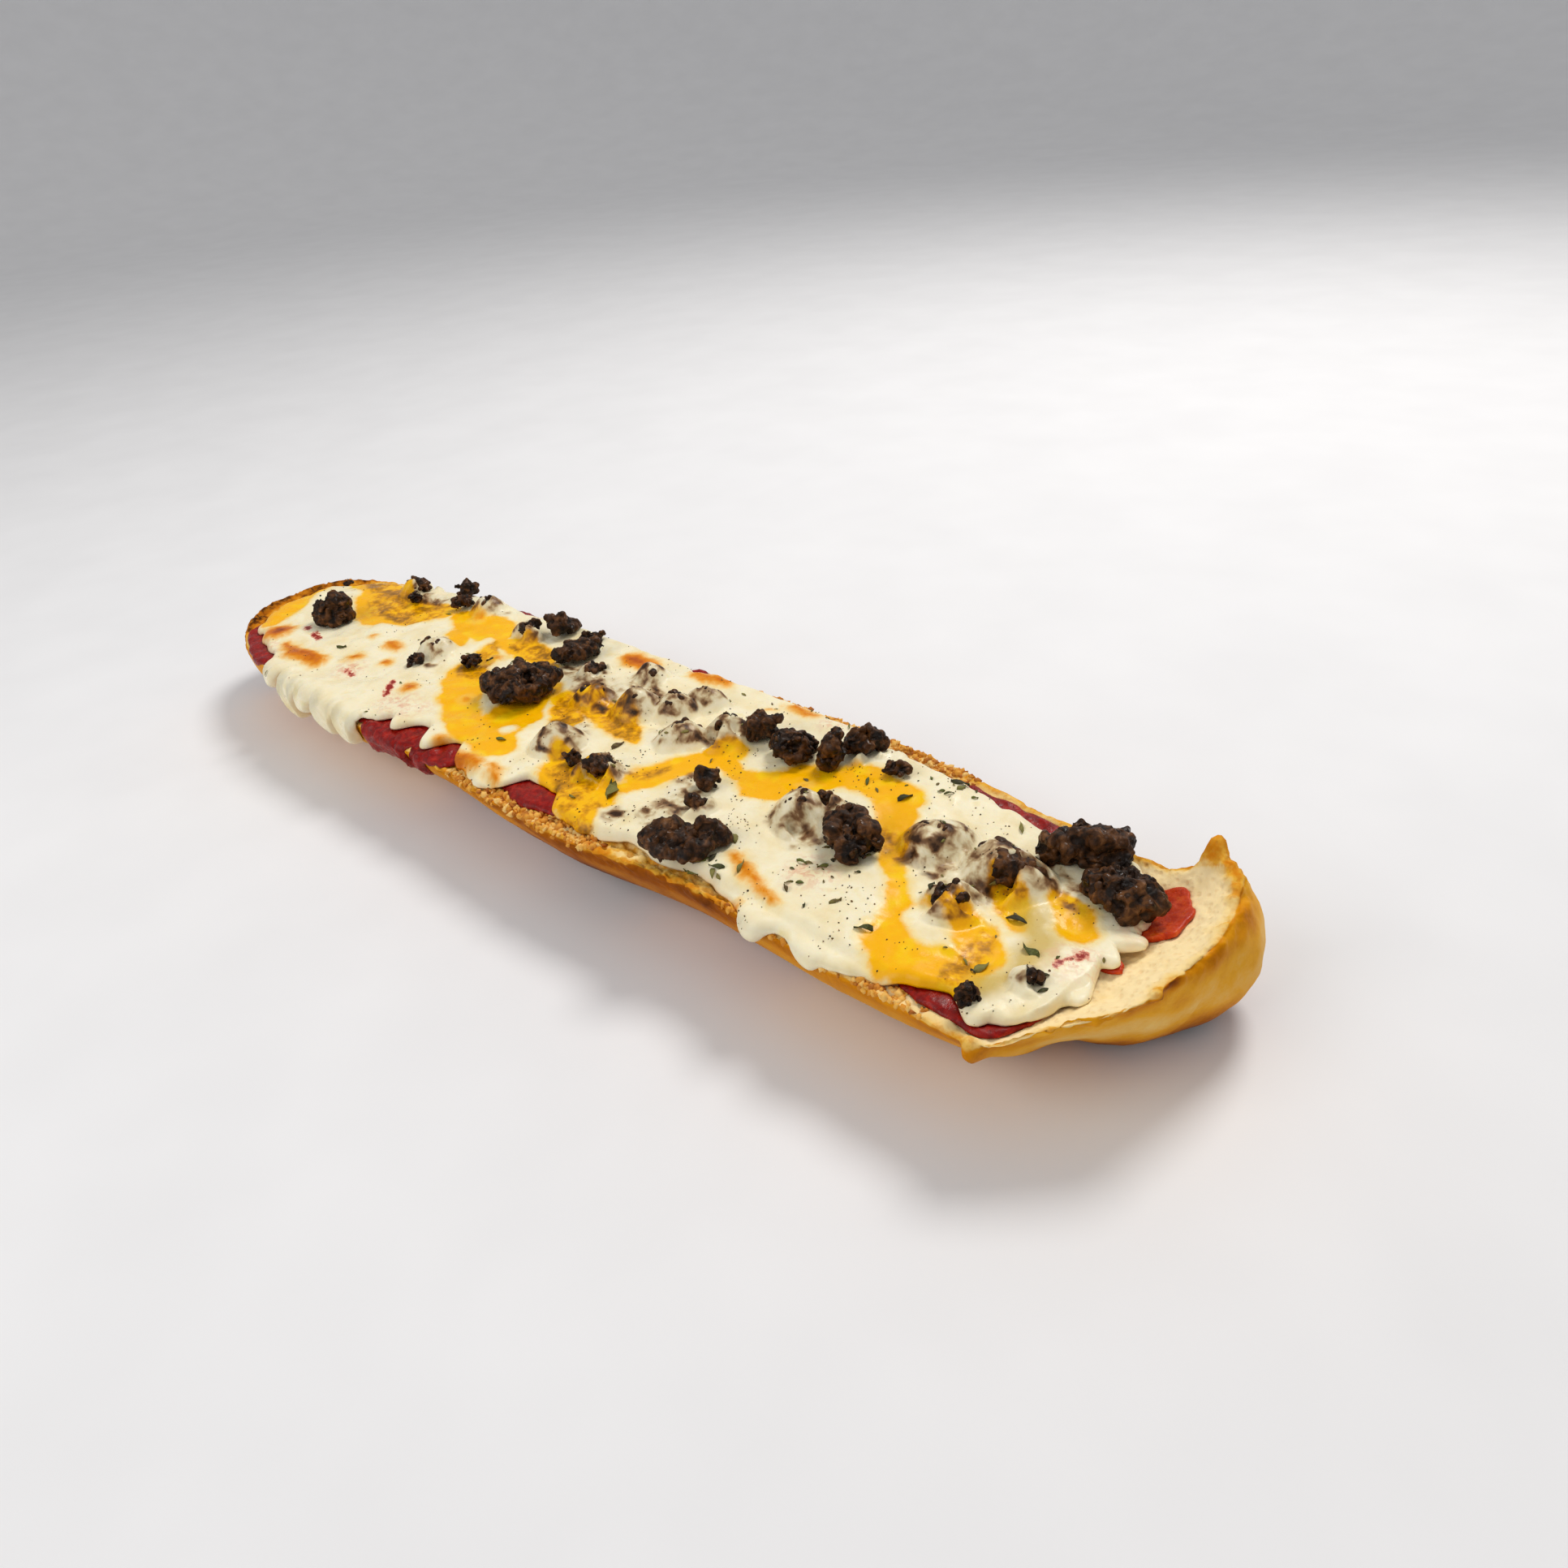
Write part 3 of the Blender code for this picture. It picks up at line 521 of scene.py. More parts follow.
class Finish:
    """A material under construction: each method adds a node and returns the socket that it gives."""

    def __init__(self, name, **settings):
        self.material = bpy.data.materials.new(name)
        self.material.use_nodes = True
        self.tree = self.material.node_tree
        self.shader = self.tree.nodes["Principled BSDF"]
        for key, value in settings.items():
            self.shader.inputs[key.replace("_", " ").title().replace("Ior", "IOR")].default_value = value
        self.place = self.tree.nodes.new("ShaderNodeTexCoord").outputs["Object"]

    def link(self, value, socket):
        if isinstance(value, bpy.types.NodeSocket):
            self.tree.links.new(value, socket)
        else:
            socket.default_value = value

    def add(self, kind, inputs):
        """A new node of that kind, with each input set to its number or linked to its socket."""
        node = self.tree.nodes.new("ShaderNode" + kind)
        for key, value in inputs.items():
            self.link(value, node.inputs[key])
        return node

    def noise(self, size, detail=3, roughness=0.55, distortion=0.0):
        """Cloud pattern from 0 to 1 with blobs of that size."""
        return self.add("TexNoise", {
            "Scale": 1 / (size * MM), "Detail": detail, "Roughness": roughness, "Distortion": distortion,
            "Vector": self.place,
        }).outputs["Fac"]

    def cells(self, size):
        """Distance from the middles of cells of that size."""
        return self.add("TexVoronoi", {"Scale": 1 / (size * MM), "Vector": self.place}).outputs["Distance"]

    def value(self, name):
        """The piece's attribute of that name."""
        node = self.add("Attribute", {})
        node.attribute_name = name
        return node.outputs["Fac"]

    def math(self, operation, a, b):
        node = self.add("Math", {0: a, 1: b})
        node.operation = operation
        return node.outputs[0]

    def times(self, a, b):
        return self.math("MULTIPLY", a, b)

    def stirred(self, value, pattern, amount):
        """The value plus that amount of how far the pattern is above a half."""
        return self.math("ADD", value, self.times(self.math("SUBTRACT", pattern, 0.5), amount))

    def step(self, value, low, high, to_low=0.0, to_high=1.0):
        """The value eased from to_low at low to to_high at high."""
        node = self.add("MapRange", {
            "Value": value, "From Min": low, "From Max": high, "To Min": to_low, "To Max": to_high,
        })
        node.interpolation_type = "SMOOTHSTEP"
        return node.outputs["Result"]

    def mix(self, part, a, b):
        """Colour a where part is 0 and b where it is 1."""
        node = self.tree.nodes.new("ShaderNodeMix")
        node.data_type = "RGBA"
        self.link(part, node.inputs[0])
        self.link(a, node.inputs[6])
        self.link(b, node.inputs[7])
        return node.outputs[2]

    def ramp(self, value, stops):
        """Colours from 0 to 255, each after its place from 0 to 1, blended between."""
        node = self.add("ValToRGB", {"Fac": value})
        elements = node.color_ramp.elements
        while len(elements) < len(stops):
            elements.new(0.5)
        for element, (place, *colour) in zip(elements, stops):
            element.position = place
            element.color = paint(*colour)
        return node.outputs["Color"]

    def bump(self, height, depth, strength, below=None):
        """Relief of that depth, on top of the bump given as below."""
        node = self.add("Bump", {"Strength": strength, "Distance": depth * MM, "Height": height})
        if below is not None:
            self.tree.links.new(below, node.inputs["Normal"])
        return node.outputs["Normal"]

    def done(self, **inputs):
        """The material, with the shader's named inputs linked to these sockets."""
        for key, value in inputs.items():
            self.link(value, self.shader.inputs[key.replace("_", " ").title()])
        return self.material


def bread_finish():
    """Crust from pale gold to brown by its toast value, which holds painted shade on the near side, and
    cream crumb with toasted tips on the cut side and painted shade in its pores.
    """
    f = Finish("toasted_bread", subsurface_weight=0.05, subsurface_scale=0.002,
               subsurface_radius=(1.0, 0.6, 0.3), specular_ior_level=0.06)
    speckle = f.noise(1.1, 4, 0.6)
    toast = f.stirred(f.value("toast"), f.noise(9, 3, 0.6, 0.4), 0.30)
    toast = f.stirred(toast, speckle, 0.16)
    crust = f.ramp(toast, [
        (0.0, 246, 208, 126), (0.26, 238, 170, 34), (0.46, 214, 134, 0), (0.66, 158, 82, 0),
        (0.84, 98, 46, 4), (1.0, 44, 22, 8),
    ])
    crumb = f.ramp(toast, [
        (0.0, 252, 228, 176), (0.28, 246, 212, 138), (0.5, 238, 182, 66), (0.72, 212, 132, 18),
        (0.86, 138, 74, 16), (1.0, 70, 38, 14),
    ])
    pore = f.step(f.cells(1.9), 0.1, 0.45)
    # Painted shade: the crumb darkens towards the middles of its pores, where they dip
    crumb = f.mix(f.times(f.math("SUBTRACT", 1.0, pore), 0.2), crumb, paint(222, 166, 88))
    knobs = f.step(f.noise(2.2, 3, 0.55), 0.38, 0.62, 0.0, 0.6)
    crumb = f.mix(f.times(knobs, f.step(toast, 0.2, 0.5)), crumb, paint(216, 132, 24))
    on_crumb = f.step(f.stirred(f.value("crumb"), speckle, 0.5), 0.35, 0.65)
    dull = f.mix(on_crumb, (0.5, 0.5, 0.5, 1), (0.9, 0.9, 0.9, 1))
    relief = f.bump(f.noise(2.6, 5, 0.62), 0.4, 0.5)
    relief = f.bump(f.times(pore, on_crumb), 0.25, 0.5, relief)
    return f.done(base_color=f.mix(on_crumb, crust, crumb), roughness=dull, normal=relief)


def sauce_finish():
    """Tomato sauce: deep red with brighter pulp, wet, and orange where it has dried."""
    f = Finish("tomato_sauce", subsurface_weight=0.05, subsurface_scale=0.0012,
               subsurface_radius=(1.0, 0.2, 0.1), specular_ior_level=0.26)
    pulp = f.noise(2.2, 4, 0.6, 0.5)
    deep = f.ramp(pulp, [(0.3, 104, 6, 4), (0.5, 138, 12, 6), (0.68, 168, 24, 8), (0.85, 198, 58, 22)])
    dry = f.ramp(pulp, [(0.3, 172, 36, 6), (0.55, 204, 62, 10), (0.8, 226, 104, 36)])
    wet = f.step(f.noise(3), 0.35, 0.7, 0.2, 0.5)
    relief = f.bump(f.noise(1.4, 4, 0.6), 0.5, 0.6)
    return f.done(base_color=f.mix(f.value("dry"), deep, dry), roughness=wet, normal=relief)


def cheese_finish():
    """Melted white cheese with cheddar, browned blisters, thin film over meat and sauce showing through."""
    f = Finish("melted_cheese", subsurface_weight=0.15, subsurface_scale=0.0015,
               subsurface_radius=(1.0, 0.7, 0.4), specular_ior_level=0.2)
    grain = f.noise(2.4, 4, 0.6, 0.6)
    white = f.ramp(f.noise(11, 4, 0.55, 0.3), [
        (0.25, 238, 219, 168), (0.42, 246, 232, 192), (0.6, 250, 240, 208), (0.78, 243, 223, 162),
    ])
    pale = f.step(f.noise(7, 2, 0.5), 0.45, 0.75)
    cheddar = f.mix(pale, paint(254, 184, 0), paint(255, 204, 6))
    dirty = f.ramp(f.stirred(f.noise(7, 3, 0.6), f.noise(1.5, 2), 0.3), [
        (0.3, 138, 92, 6), (0.42, 186, 126, 2), (0.52, 230, 160, 2), (0.6, 253, 190, 4),
    ])
    cheddar = f.mix(f.step(f.stirred(f.value("mottled"), grain, 0.4), 0.32, 0.7), cheddar, dirty)
    at = f.stirred(f.value("cheddar"), grain, 0.3)
    colour = f.mix(f.step(at, 0.12, 0.44, 0.0, 0.42), white, paint(252, 216, 104))
    colour = f.mix(f.step(at, 0.36, 0.62), colour, cheddar)
    colour = f.mix(f.times(f.value("olive"), 0.8), colour, paint(204, 172, 74))
    # Film over the beef, grey where it is white cheese and golden where it is cheddar
    thin = f.stirred(f.value("film"), f.noise(5, 3, 0.45, 0.3), 2.1)
    veil = f.ramp(thin, [
        (0.16, 240, 230, 200), (0.4, 226, 212, 174), (0.54, 192, 166, 126), (0.7, 128, 92, 60),
        (0.9, 58, 36, 20),
    ])
    golden = f.ramp(thin, [
        (0.2, 250, 192, 12), (0.42, 226, 160, 12), (0.56, 178, 118, 20), (0.72, 122, 78, 22),
        (0.92, 60, 38, 16),
    ])
    veil = f.mix(f.step(at, 0.34, 0.6), veil, golden)
    colour = f.mix(f.step(f.stirred(f.value("film"), grain, 0.15), 0.12, 0.46), colour, veil)
    # Sauce that stains the cheese, and sauce that shows through holes with a pink edge
    stain = f.times(f.value("stain"), f.step(grain, 0.42, 0.62))
    colour = f.mix(f.times(stain, 0.6), colour, paint(224, 150, 120))
    bit = f.stirred(f.value("sauce"), f.noise(1.6, 3, 0.6), 1.2)
    colour = f.mix(f.step(bit, 0.3, 0.5), colour, paint(226, 150, 124))
    colour = f.mix(f.step(bit, 0.46, 0.66), colour, paint(150, 34, 24))
    burnt = f.stirred(f.value("browned"), f.noise(4.5, 4, 0.6, 0.5), 0.5)
    toasted = f.ramp(burnt, [
        (0.26, 250, 214, 112), (0.46, 242, 168, 30), (0.66, 220, 124, 2), (0.86, 180, 84, 0),
        (1.0, 146, 62, 0),
    ])
    colour = f.mix(f.step(burnt, 0.1, 0.62), colour, toasted)
    gloss = f.step(f.noise(5, 3), 0.35, 0.7, 0.24, 0.46)
    relief = f.bump(f.noise(4.5, 4, 0.5), 0.5, 0.5)
    relief = f.bump(f.noise(1.3, 3, 0.55), 0.12, 0.5, relief)
    return f.done(base_color=colour, roughness=gloss, normal=relief)


def beef_finish():
    """Browned ground beef: near black to warm brown, greasy highlights, painted shade in its hollows."""
    f = Finish("browned_beef", specular_ior_level=0.2)
    colour = f.ramp(f.noise(3.2, 5, 0.6, 0.5), [
        (0.3, 18, 9, 3), (0.42, 44, 24, 8), (0.54, 78, 46, 20), (0.66, 112, 72, 38), (0.8, 150, 104, 64),
    ])
    # Painted shade: the colour goes near black in the hollows and cracks between granules
    hollow = f.step(f.value("hollow"), 0.2, 0.8)
    colour = f.mix(f.times(hollow, 0.75), colour, paint(14, 9, 7))
    grease = f.step(f.noise(2.4, 3), 0.36, 0.52, 0.18, 0.6)
    return f.done(base_color=colour, roughness=grease, normal=f.bump(f.noise(1.5, 4, 0.55), 0.35, 0.7))


def flake_finish(name, colours):
    """Small dry things, each with its own tone between the colours."""
    f = Finish(name, roughness=0.75)
    tone = f.stirred(f.value("tone"), f.noise(0.8, 3), 0.5)
    stops = [(k / (len(colours) - 1), *colour) for k, colour in enumerate(colours)]
    return f.done(base_color=f.ramp(tone, stops), normal=f.bump(f.noise(0.5, 3), 0.1, 0.6))


def floor_finish():
    f = Finish("pale_floor", roughness=0.8)
    return f.done(base_color=f.ramp(f.noise(60, 2), [(0.3, 236, 236, 238), (0.7, 240, 240, 242)]))


def loaf_rows(col):
    """Distances of the bread's rows: wide steps where toppings hide it, fine ones near the rim, and steps
    that widen down the crust."""
    hidden = -col.reach + (col.reach - OPEN_FACE) * np.linspace(0, 1, 6)[:-1, None]
    open_face = np.linspace(-OPEN_FACE, 0, 49)[:, None] + 0 * col.reach
    crust = BOTTOM * np.linspace(0, 1, 52)[1:, None] ** 1.25 + 0 * col.reach
    return np.concatenate([hidden, open_face, crust])


def make_loaf():
    """Half loaf: the bread's surface, pushed along its normals by sums of clouds for crumb, tears and crust.
    Its toast value, 0 pale to 1 burnt, is one such sum for the crust and one for the cut face. On the near
    side the crust's toast value also holds painted shade."""
    col = Columns(per_side=330, per_right=170, per_left=90)
    c = loaf_rows(col)
    points = bread_surface(c, col)
    points[-1, :, 2] = 0
    x, y, z = np.moveaxis(points, -1, 0)
    cloud = partial(rough, points)
    right_end = smooth_step(176, 200, x)
    left_end = smooth_step(-190, -203, x)
    near = (y < SPINE_Y) * 1.0
    crumb = smooth_step(1.0, -1.0, c + cloud(7, 11) * 1.6)
    hollow = smooth_step(0.5, 0.15, pores(points * (1, 1, 1.6), 3.1, 21))
    hollow = hollow + 0.6 * smooth_step(0.5, 0.2, pores(points, 1.7, 31))
    torn = cloud(2.6, 41)
    fibres = rough(points * (0.4, 1, 1), 3.4, 47)
    face = (-0.5 * hollow + 0.4 * torn) * crumb * (1 - 0.3 * right_end)
    face = face + (0.8 * cloud(9, 45) + 0.7 * fibres) * crumb * right_end
    crust = 0.45 * cloud(22, 51) + 0.10 * cloud(3.2, 61)
    crust = crust + right_end * (0.9 * cloud(13, 71) + 0.25 * cloud(4, 73))
    ragged = cloud(4.0, 81) * bell(c, 0, 2.4) * (0.9 + 2.1 * right_end)
    push = face + crust * (1 - crumb) * smooth_step(0.3, 3, z) + ragged
    # Orange toasted strip on the near rim, and the brown lip beside it
    strip = between(-40, -28, 106, 118, x) * near * between(-12, -8, 0, 6, c)
    lip = between(10, 30, 100, 116, x) * near * bell(c, 2.5, 4.5)
    push += strip * (0.9 * torn + 0.8 * cloud(5, 91) - 0.6 * hollow) + lip * 0.5
    push += left_end * crumb * smooth_step(-17, -12, c) * (1.5 * cloud(3.5, 95) - 0.5 * hollow)
    # The tip of the lip stands up, and the near corner has a torn flap with a notch past it
    push += 4.0 * np.exp(-((x - 201.5) ** 2 + (y - 33.8) ** 2) / 2.5) * (c < 3)
    flap = 1.7 * bell(x, 182.5, math.sqrt(3)) - 0.9 * bell(x, 188, math.sqrt(7))
    push += 1.9 * flap * near * bell(c, 2, 4)
    # Toast of the crust: paler and browner bands, and dark patches at the torn end
    toast = 0.36 + 0.14 * cloud(26, 101) + 0.16 * smooth_step(20, 40, c)
    toast -= 0.10 * near * between(6, 12, 20, 28, c) * smooth_step(110, 130, x)
    # Darker crust on the near side, x 0 to 125: partly browner toast, partly painted shade
    toast += 0.20 * near * between(0, 30, 105, 125, x) * smooth_step(3, 14, c)
    toast += 0.3 * bell(c, 1.5, 2.5) * (0.4 + 0.6 * cloud(15, 111))
    # Darker crust on the near side, x -70 to 70: partly browner toast, partly painted shade
    toast += 0.26 * near * between(-70, -40, 40, 70, x) * smooth_step(3, 12, c)
    patches = smooth_step(0.1, 0.5, cloud(14, 121)) * smooth_step(2, 10, c)
    low_edge = 1.3 * smooth_step(22, 6, z) + 1.2 * bell(c, 0, 2.0) * smooth_step(0, 0.5, cloud(12, 125))
    upper = smooth_step(11, 2, c) * smooth_step(-0.5, 0.5, cloud(11, 127))
    toast += (c > 0) * right_end * (0.42 * patches + 0.36 * low_edge + 0.26 * upper - 0.2)
    # Toast of the cut face: its far strip, the torn end's edge, the near strip and the burnt pointed end
    face_toast = 0.08 + 0.12 * cloud(9, 131) + 0.32 * bell(c, 0, 2.6)
    face_toast += (y > 30) * smooth_step(-9, -3, c) * (0.16 + 0.12 * cloud(6, 141))
    edge_brown = bell(c, -0.5, 2.6) * smooth_step(-0.3, 0.5, cloud(6, 163))
    face_toast += right_end * (0.12 * cloud(5, 165) - 0.1 + 0.5 * edge_brown)
    face_toast += strip * (0.26 + 0.42 * cloud(4, 151))
    burnt = left_end * smooth_step(-17, -12, c) * smooth_step(-37, -29, y)
    face_toast += burnt * (0.68 + 0.5 * cloud(4, 161))
    toast = toast * (1 - crumb) + face_toast * crumb + lip * 0.25 * (1 - crumb) + left_end * 0.35 * (c > 0)
    values = {"crumb": crumb, "toast": np.clip(toast, 0, 1), "push": push}
    points, faces, values = welded(points, c.shape, values)
    points = points + normals_of(points, faces) * values.pop("push")[:, None]
    points[:, 2] = np.maximum(points[:, 2], 0)
    return add_piece("loaf", points, faces, bread_finish(), values, ("bread",))


def wobble(col, seed, size, amount):
    """A random offset along the edge of a layer, smooth over that size."""
    rim = bread_surface(np.zeros_like(col.reach), col)
    return amount * rough(rim, size, seed, 2)


def layer_sheet(col, edge, upper_steps, width):
    """Distances of the rows of a sheet's upper face, finer over that width at its edge, and of its underside,
    and which rows are on top."""
    inner = edge - width
    spread = -col.reach + (inner + col.reach) * np.linspace(0, 1, upper_steps)[:, None]
    turn = np.sin(np.linspace(0, math.pi / 2, 9)[1:])[:, None]
    upper = np.concatenate([spread, inner + width * turn])
    lower = np.stack([edge - width * part for part in (0.1, 0.4, 1.0)] + [-col.reach + 0 * edge])
    c = np.concatenate([upper, lower])
    return c, np.arange(len(c))[:, None] < len(upper)


def quarter_round(c, edge, width):
    """1 on a layer, falling to 0 at its edge along a quarter circle of that width."""
    return np.sqrt(np.clip(1 - np.clip((c - edge + width) / width, 0, 1) ** 2, 0, 1))


def make_sauce():
    """Tomato sauce: a thin sheet with random offsets along its edge, and clipped clouds of pulp where it
    shows past the cheese. It runs over the near rim in drips."""
    col = Columns(per_side=360, per_right=120, per_left=90)
    near, left = col.part == NEAR_SIDE, col.part == LEFT_END
    edge = col.layer_reach(SAUCE_REACH) + wobble(col, 201, 6, 1.5)
    rim = bread_surface(np.zeros_like(col.reach), col)
    edge = edge + between(-84, -76, -32, -24, col.foot) * near * (3.5 + 8.0 * noise(rim, 5.5, 205))
    edge = np.where(left, np.maximum(edge, np.interp(col.angle, *zip(*SAUCE_POINTED))), edge)
    edge = edge + smooth_step(-160, -170, col.foot) * near * 2.5
    edge = np.where(left & (col.angle < 236), edge - 4, edge)
    patches = np.interp(col.angle, *zip(*SAUCE_PATCHES)) + wobble(col, 207, 2.6, 3.4)
    edge = np.minimum(edge, np.where(col.part == RIGHT_END, patches, SAUCE_MOST))
    c, on_top = layer_sheet(col, edge, 46, SAUCE_EDGE)
    base = bread_surface(c, col)
    seen = smooth_step(-2.5, 1.0, c - cheese_reach(col))
    pulp = 1.1 * np.clip(rough(base, 4.2, 211), -0.4, 1) + 0.5 * rough(base, 1.8, 221)
    near_drips = between(-90, -80, -34, -24, base[..., 0])
    thick = SAUCE_THICK + seen * (0.6 + pulp * (0.7 + 0.8 * near_drips))
    lift = GAP * 0.4 + np.where(on_top, thick * quarter_round(c, edge, SAUCE_EDGE), 0)
    points = base + outward(c, col) * lift[..., None]
    points, faces, values = welded(points, c.shape, {"dry": smooth_step(186, 196, base[..., 0])})
    return add_piece("tomato_sauce", points, faces, sauce_finish(), values, ("sauce",))


def lobe(value, middle, half_width):
    """A bell with a flatter top and steeper sides."""
    return np.exp(-(np.abs((value - middle) / half_width) ** 2.6))


def cheese_reach(col):
    """Reach of the cheese, with its drips added as lobes and drawn back a little between them."""
    near, right, left = (col.part == side for side in (NEAR_SIDE, RIGHT_END, LEFT_END))
    gaps = 3.5 * between(-168, -160, -84, -78, col.foot) * near
    edge = col.layer_reach(CHEESE_REACH) - gaps
    for place, half_width, extra in DRIPS:
        edge = edge + (extra + gaps) * lobe(col.foot, place, half_width) * near
    edge = edge + 2.5 * bell(col.angle, 262, 9) * left
    for angle, half_width, extra in RIGHT_LOBES:
        edge = edge + extra * lobe(col.angle, angle, half_width) * right
    return edge + wobble(col, 231, 5, 1.3)


def film_height(points, granules):
    """Height of a film stretched over a crumble: a soft maximum of wide domes, one on each granule, whose
    sides are hyperbolas."""
    centres, radii = granules
    away = ((points[:, None, :2] - centres[:, :2]) ** 2).sum(axis=2)
    bend = FILM_ROUND * radii
    domes = centres[:, 2] + radii * 0.9 - FILM_FALL * (np.sqrt(away + bend**2) - bend)
    return np.log(np.exp(FILM_SHARP * (domes - FILM_LEVEL)).sum(axis=1) + 1e-9) / FILM_SHARP + FILM_LEVEL


def make_cheese(granules):
    """Melted cheese: a sheet over the sauce, whose thickness is a sum of waves and clouds for soft lumps and
    blisters, with drips, and films over the crumbles. The masks come from brush strokes bent by clouds."""
    col = Columns(per_side=420, per_right=136, per_left=130)
    edge = cheese_reach(col)
    c, on_top = layer_sheet(col, edge, 66, CHEESE_EDGE)
    base = bread_surface(c, col)
    x, y = base[..., 0], base[..., 1]
    cloud = partial(rough, base)
    lift = GAP + (SAUCE_THICK + GAP) * (1 - np.clip((c - col.layer_reach(SAUCE_REACH) - 1.5) / 3, 0, 1))
    lumps = LUMP * np.sin(x / 5.3 + 2 * np.sin(y / 9)) * np.sin(y / 6.1 + x / 17)
    lumps = lumps + LONG_LUMP * np.sin(x / 11 - y / 8)
    bent = x + 3.0 * cloud(10, 241) + cloud(3, 243), y + 3.0 * cloud(10, 251) + cloud(3, 253)
    bend = 1.4 * cloud(4, 261)
    cheddar = np.minimum(depth_in(CHEDDAR, *bent), -depth_in(WHITE_SPOTS, x, y))
    browned = depth_in(BROWNED, x + bend, y + 1.4 * cloud(4, 271))
    relief = 0.75 * cloud(12, 281) + 0.42 * cloud(5.5, 285) + 0.14 * cloud(2.4, 291)
    relief = relief + 0.6 * smooth_step(-1.5, 3.5, browned) - 0.3 * smooth_step(-1, 2, cheddar)
    # The drape over the near rim has folds that run down it and swells into beads at its drips
    draped = smooth_step(-3, 3, c) * smooth_step(-66, -80, x) * (y < SPINE_Y)
    relief = relief + draped * (0.3 * noise(base * (1, 0, 0), 11, 287) + 0.5)
    bead = bell(c - edge, -3.0, 2.6) * smooth_step(-2, 2, c) * (0.7 + 0.5 * draped)
    thick = (CHEESE_THICK + lumps + relief + bead) * quarter_round(c, edge, CHEESE_EDGE)
    lift = lift + np.where(on_top, np.maximum(thick, 0), 0)
    points = (base + outward(c, col) * lift[..., None]).reshape(-1, 3)
    film = mask(depth_in(FILM_FLATS, *bent), 0.3, 12, 0.55).reshape(-1)
    values = {
        "cheddar": mask(cheddar, 0.5, 8), "browned": mask(browned, 0.4, 11),
        "mottled": mask(depth_in(MOTTLED, *bent), 0.4, 8), "olive": mask(depth_in(OLIVE, *bent), 0.4, 5),
        "sauce": mask(depth_in(SAUCE_BITS, x + bend, y - bend), 0.4, 4),
        "stain": mask(depth_in(STAINED, *bent), 0.5, 8), "film": film,
    }
    top = np.broadcast_to(on_top, c.shape).reshape(-1)
    for number, cover in FILMED.items():
        middles = granules[number][0][:, :2]
        low, high = middles.min(0) - FILM_MARGIN, middles.max(0) + FILM_MARGIN
        close = np.flatnonzero(top & (points[:, :2] > low).all(1) & (points[:, :2] < high).all(1))
        raised = film_height(points[close], granules[number]) - points[close, 2]
        holes = rough(points[close] * (1, 1, 0), 7, 300 + number, 2)
        whole = smooth_step(-0.22, 0.26, holes + (cover - 0.45) * 1.4)
        points[close, 2] += np.maximum(raised, 0) * whole
        film[close] = np.maximum(film[close], smooth_step(0.2, 3.2, raised) * FILM_VEIL * whole)
    points, faces, values = welded(points, c.shape, values)
    return add_piece("melted_cheese", points, faces, cheese_finish(), values, ("cheese",))


def unit_ball(subdivisions):
    """Points and triangles of a ball of radius 1, an icosahedron subdivided."""
    ball = bmesh.new()
    bmesh.ops.create_icosphere(ball, subdivisions=subdivisions, radius=1)
    ways = np.array([v.co for v in ball.verts])
    faces = np.array([[v.index for v in f.verts] for f in ball.faces])
    ball.free()
    return ways, faces


def copies(faces, count, size):
    """The faces of that many copies of a shape that has that many points."""
    return (faces[None] + size * np.arange(count)[:, None, None]).reshape(-1, faces.shape[1])


def strew(points, faces, number, spacing):
    """Places on a mesh at least that far apart, with their normals and the random numbers to go on with:
    random places by area, each kept if no earlier one is near."""
    rng = np.random.default_rng(500 + number)
    a, b, c = (points[faces[:, i]] for i in range(3))
    area = np.cross(b - a, c - a)
    size = np.linalg.norm(area, axis=1)
    tries = int(size.sum() / 2 / spacing**2 * GRANULE_TRIES)
    pick = rng.choice(len(faces), tries, p=size / size.sum())
    u, v = rng.random((2, tries))
    u, v = np.where(u + v > 1, 1 - u, u), np.where(u + v > 1, 1 - v, v)
    spots = a[pick] + (b - a)[pick] * u[:, None] + (c - a)[pick] * v[:, None]
    ways = (area / np.maximum(size, 1e-9)[:, None])[pick]
    gaps = np.linalg.norm(spots[:, None] - spots[None], axis=2)
    kept = []
    for i in range(tries):
        if not kept or gaps[i, kept].min() > spacing:
            kept.append(i)
    return spots[kept], ways[kept], rng


def plan_granules(number):
    """Centres and radii in millimetres of the granules that a crumble's skin is made of."""
    points, faces = points_and_triangles(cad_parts[f"beef_{number:02d}"].data)
    spots, ways, rng = strew(points, faces, number, GRANULE_SPACING)
    size = np.clip(np.ptp(points, axis=0).min() / 8, 0.6, 1.1)
    small = rng.uniform(*SMALL_GRANULE, len(spots))
    large = rng.uniform(*LARGE_GRANULE, len(spots)) * size
    radii = np.where(rng.random(len(spots)) < SMALL_SHARE, small, large)
    notch = np.clip(noise(spots, 5.5, 421) + 0.1, 0, 1) * NOTCH_DEPTH * size
    sunk = np.where(radii < 1.2, 0.0, LARGE_SUNK) * radii + notch
    return spots - ways * sunk[:, None], radii


def turned_axes(rng, count):
    """That many random orthonormal axes: the first two random ways squared up, the third their cross."""
    a = rng.normal(size=(count, 3))
    a /= np.linalg.norm(a, axis=1, keepdims=True)
    b = np.cross(a, rng.normal(size=(count, 3)))
    b /= np.linalg.norm(b, axis=1, keepdims=True)
    return np.stack([a, b, np.cross(a, b)], axis=1)


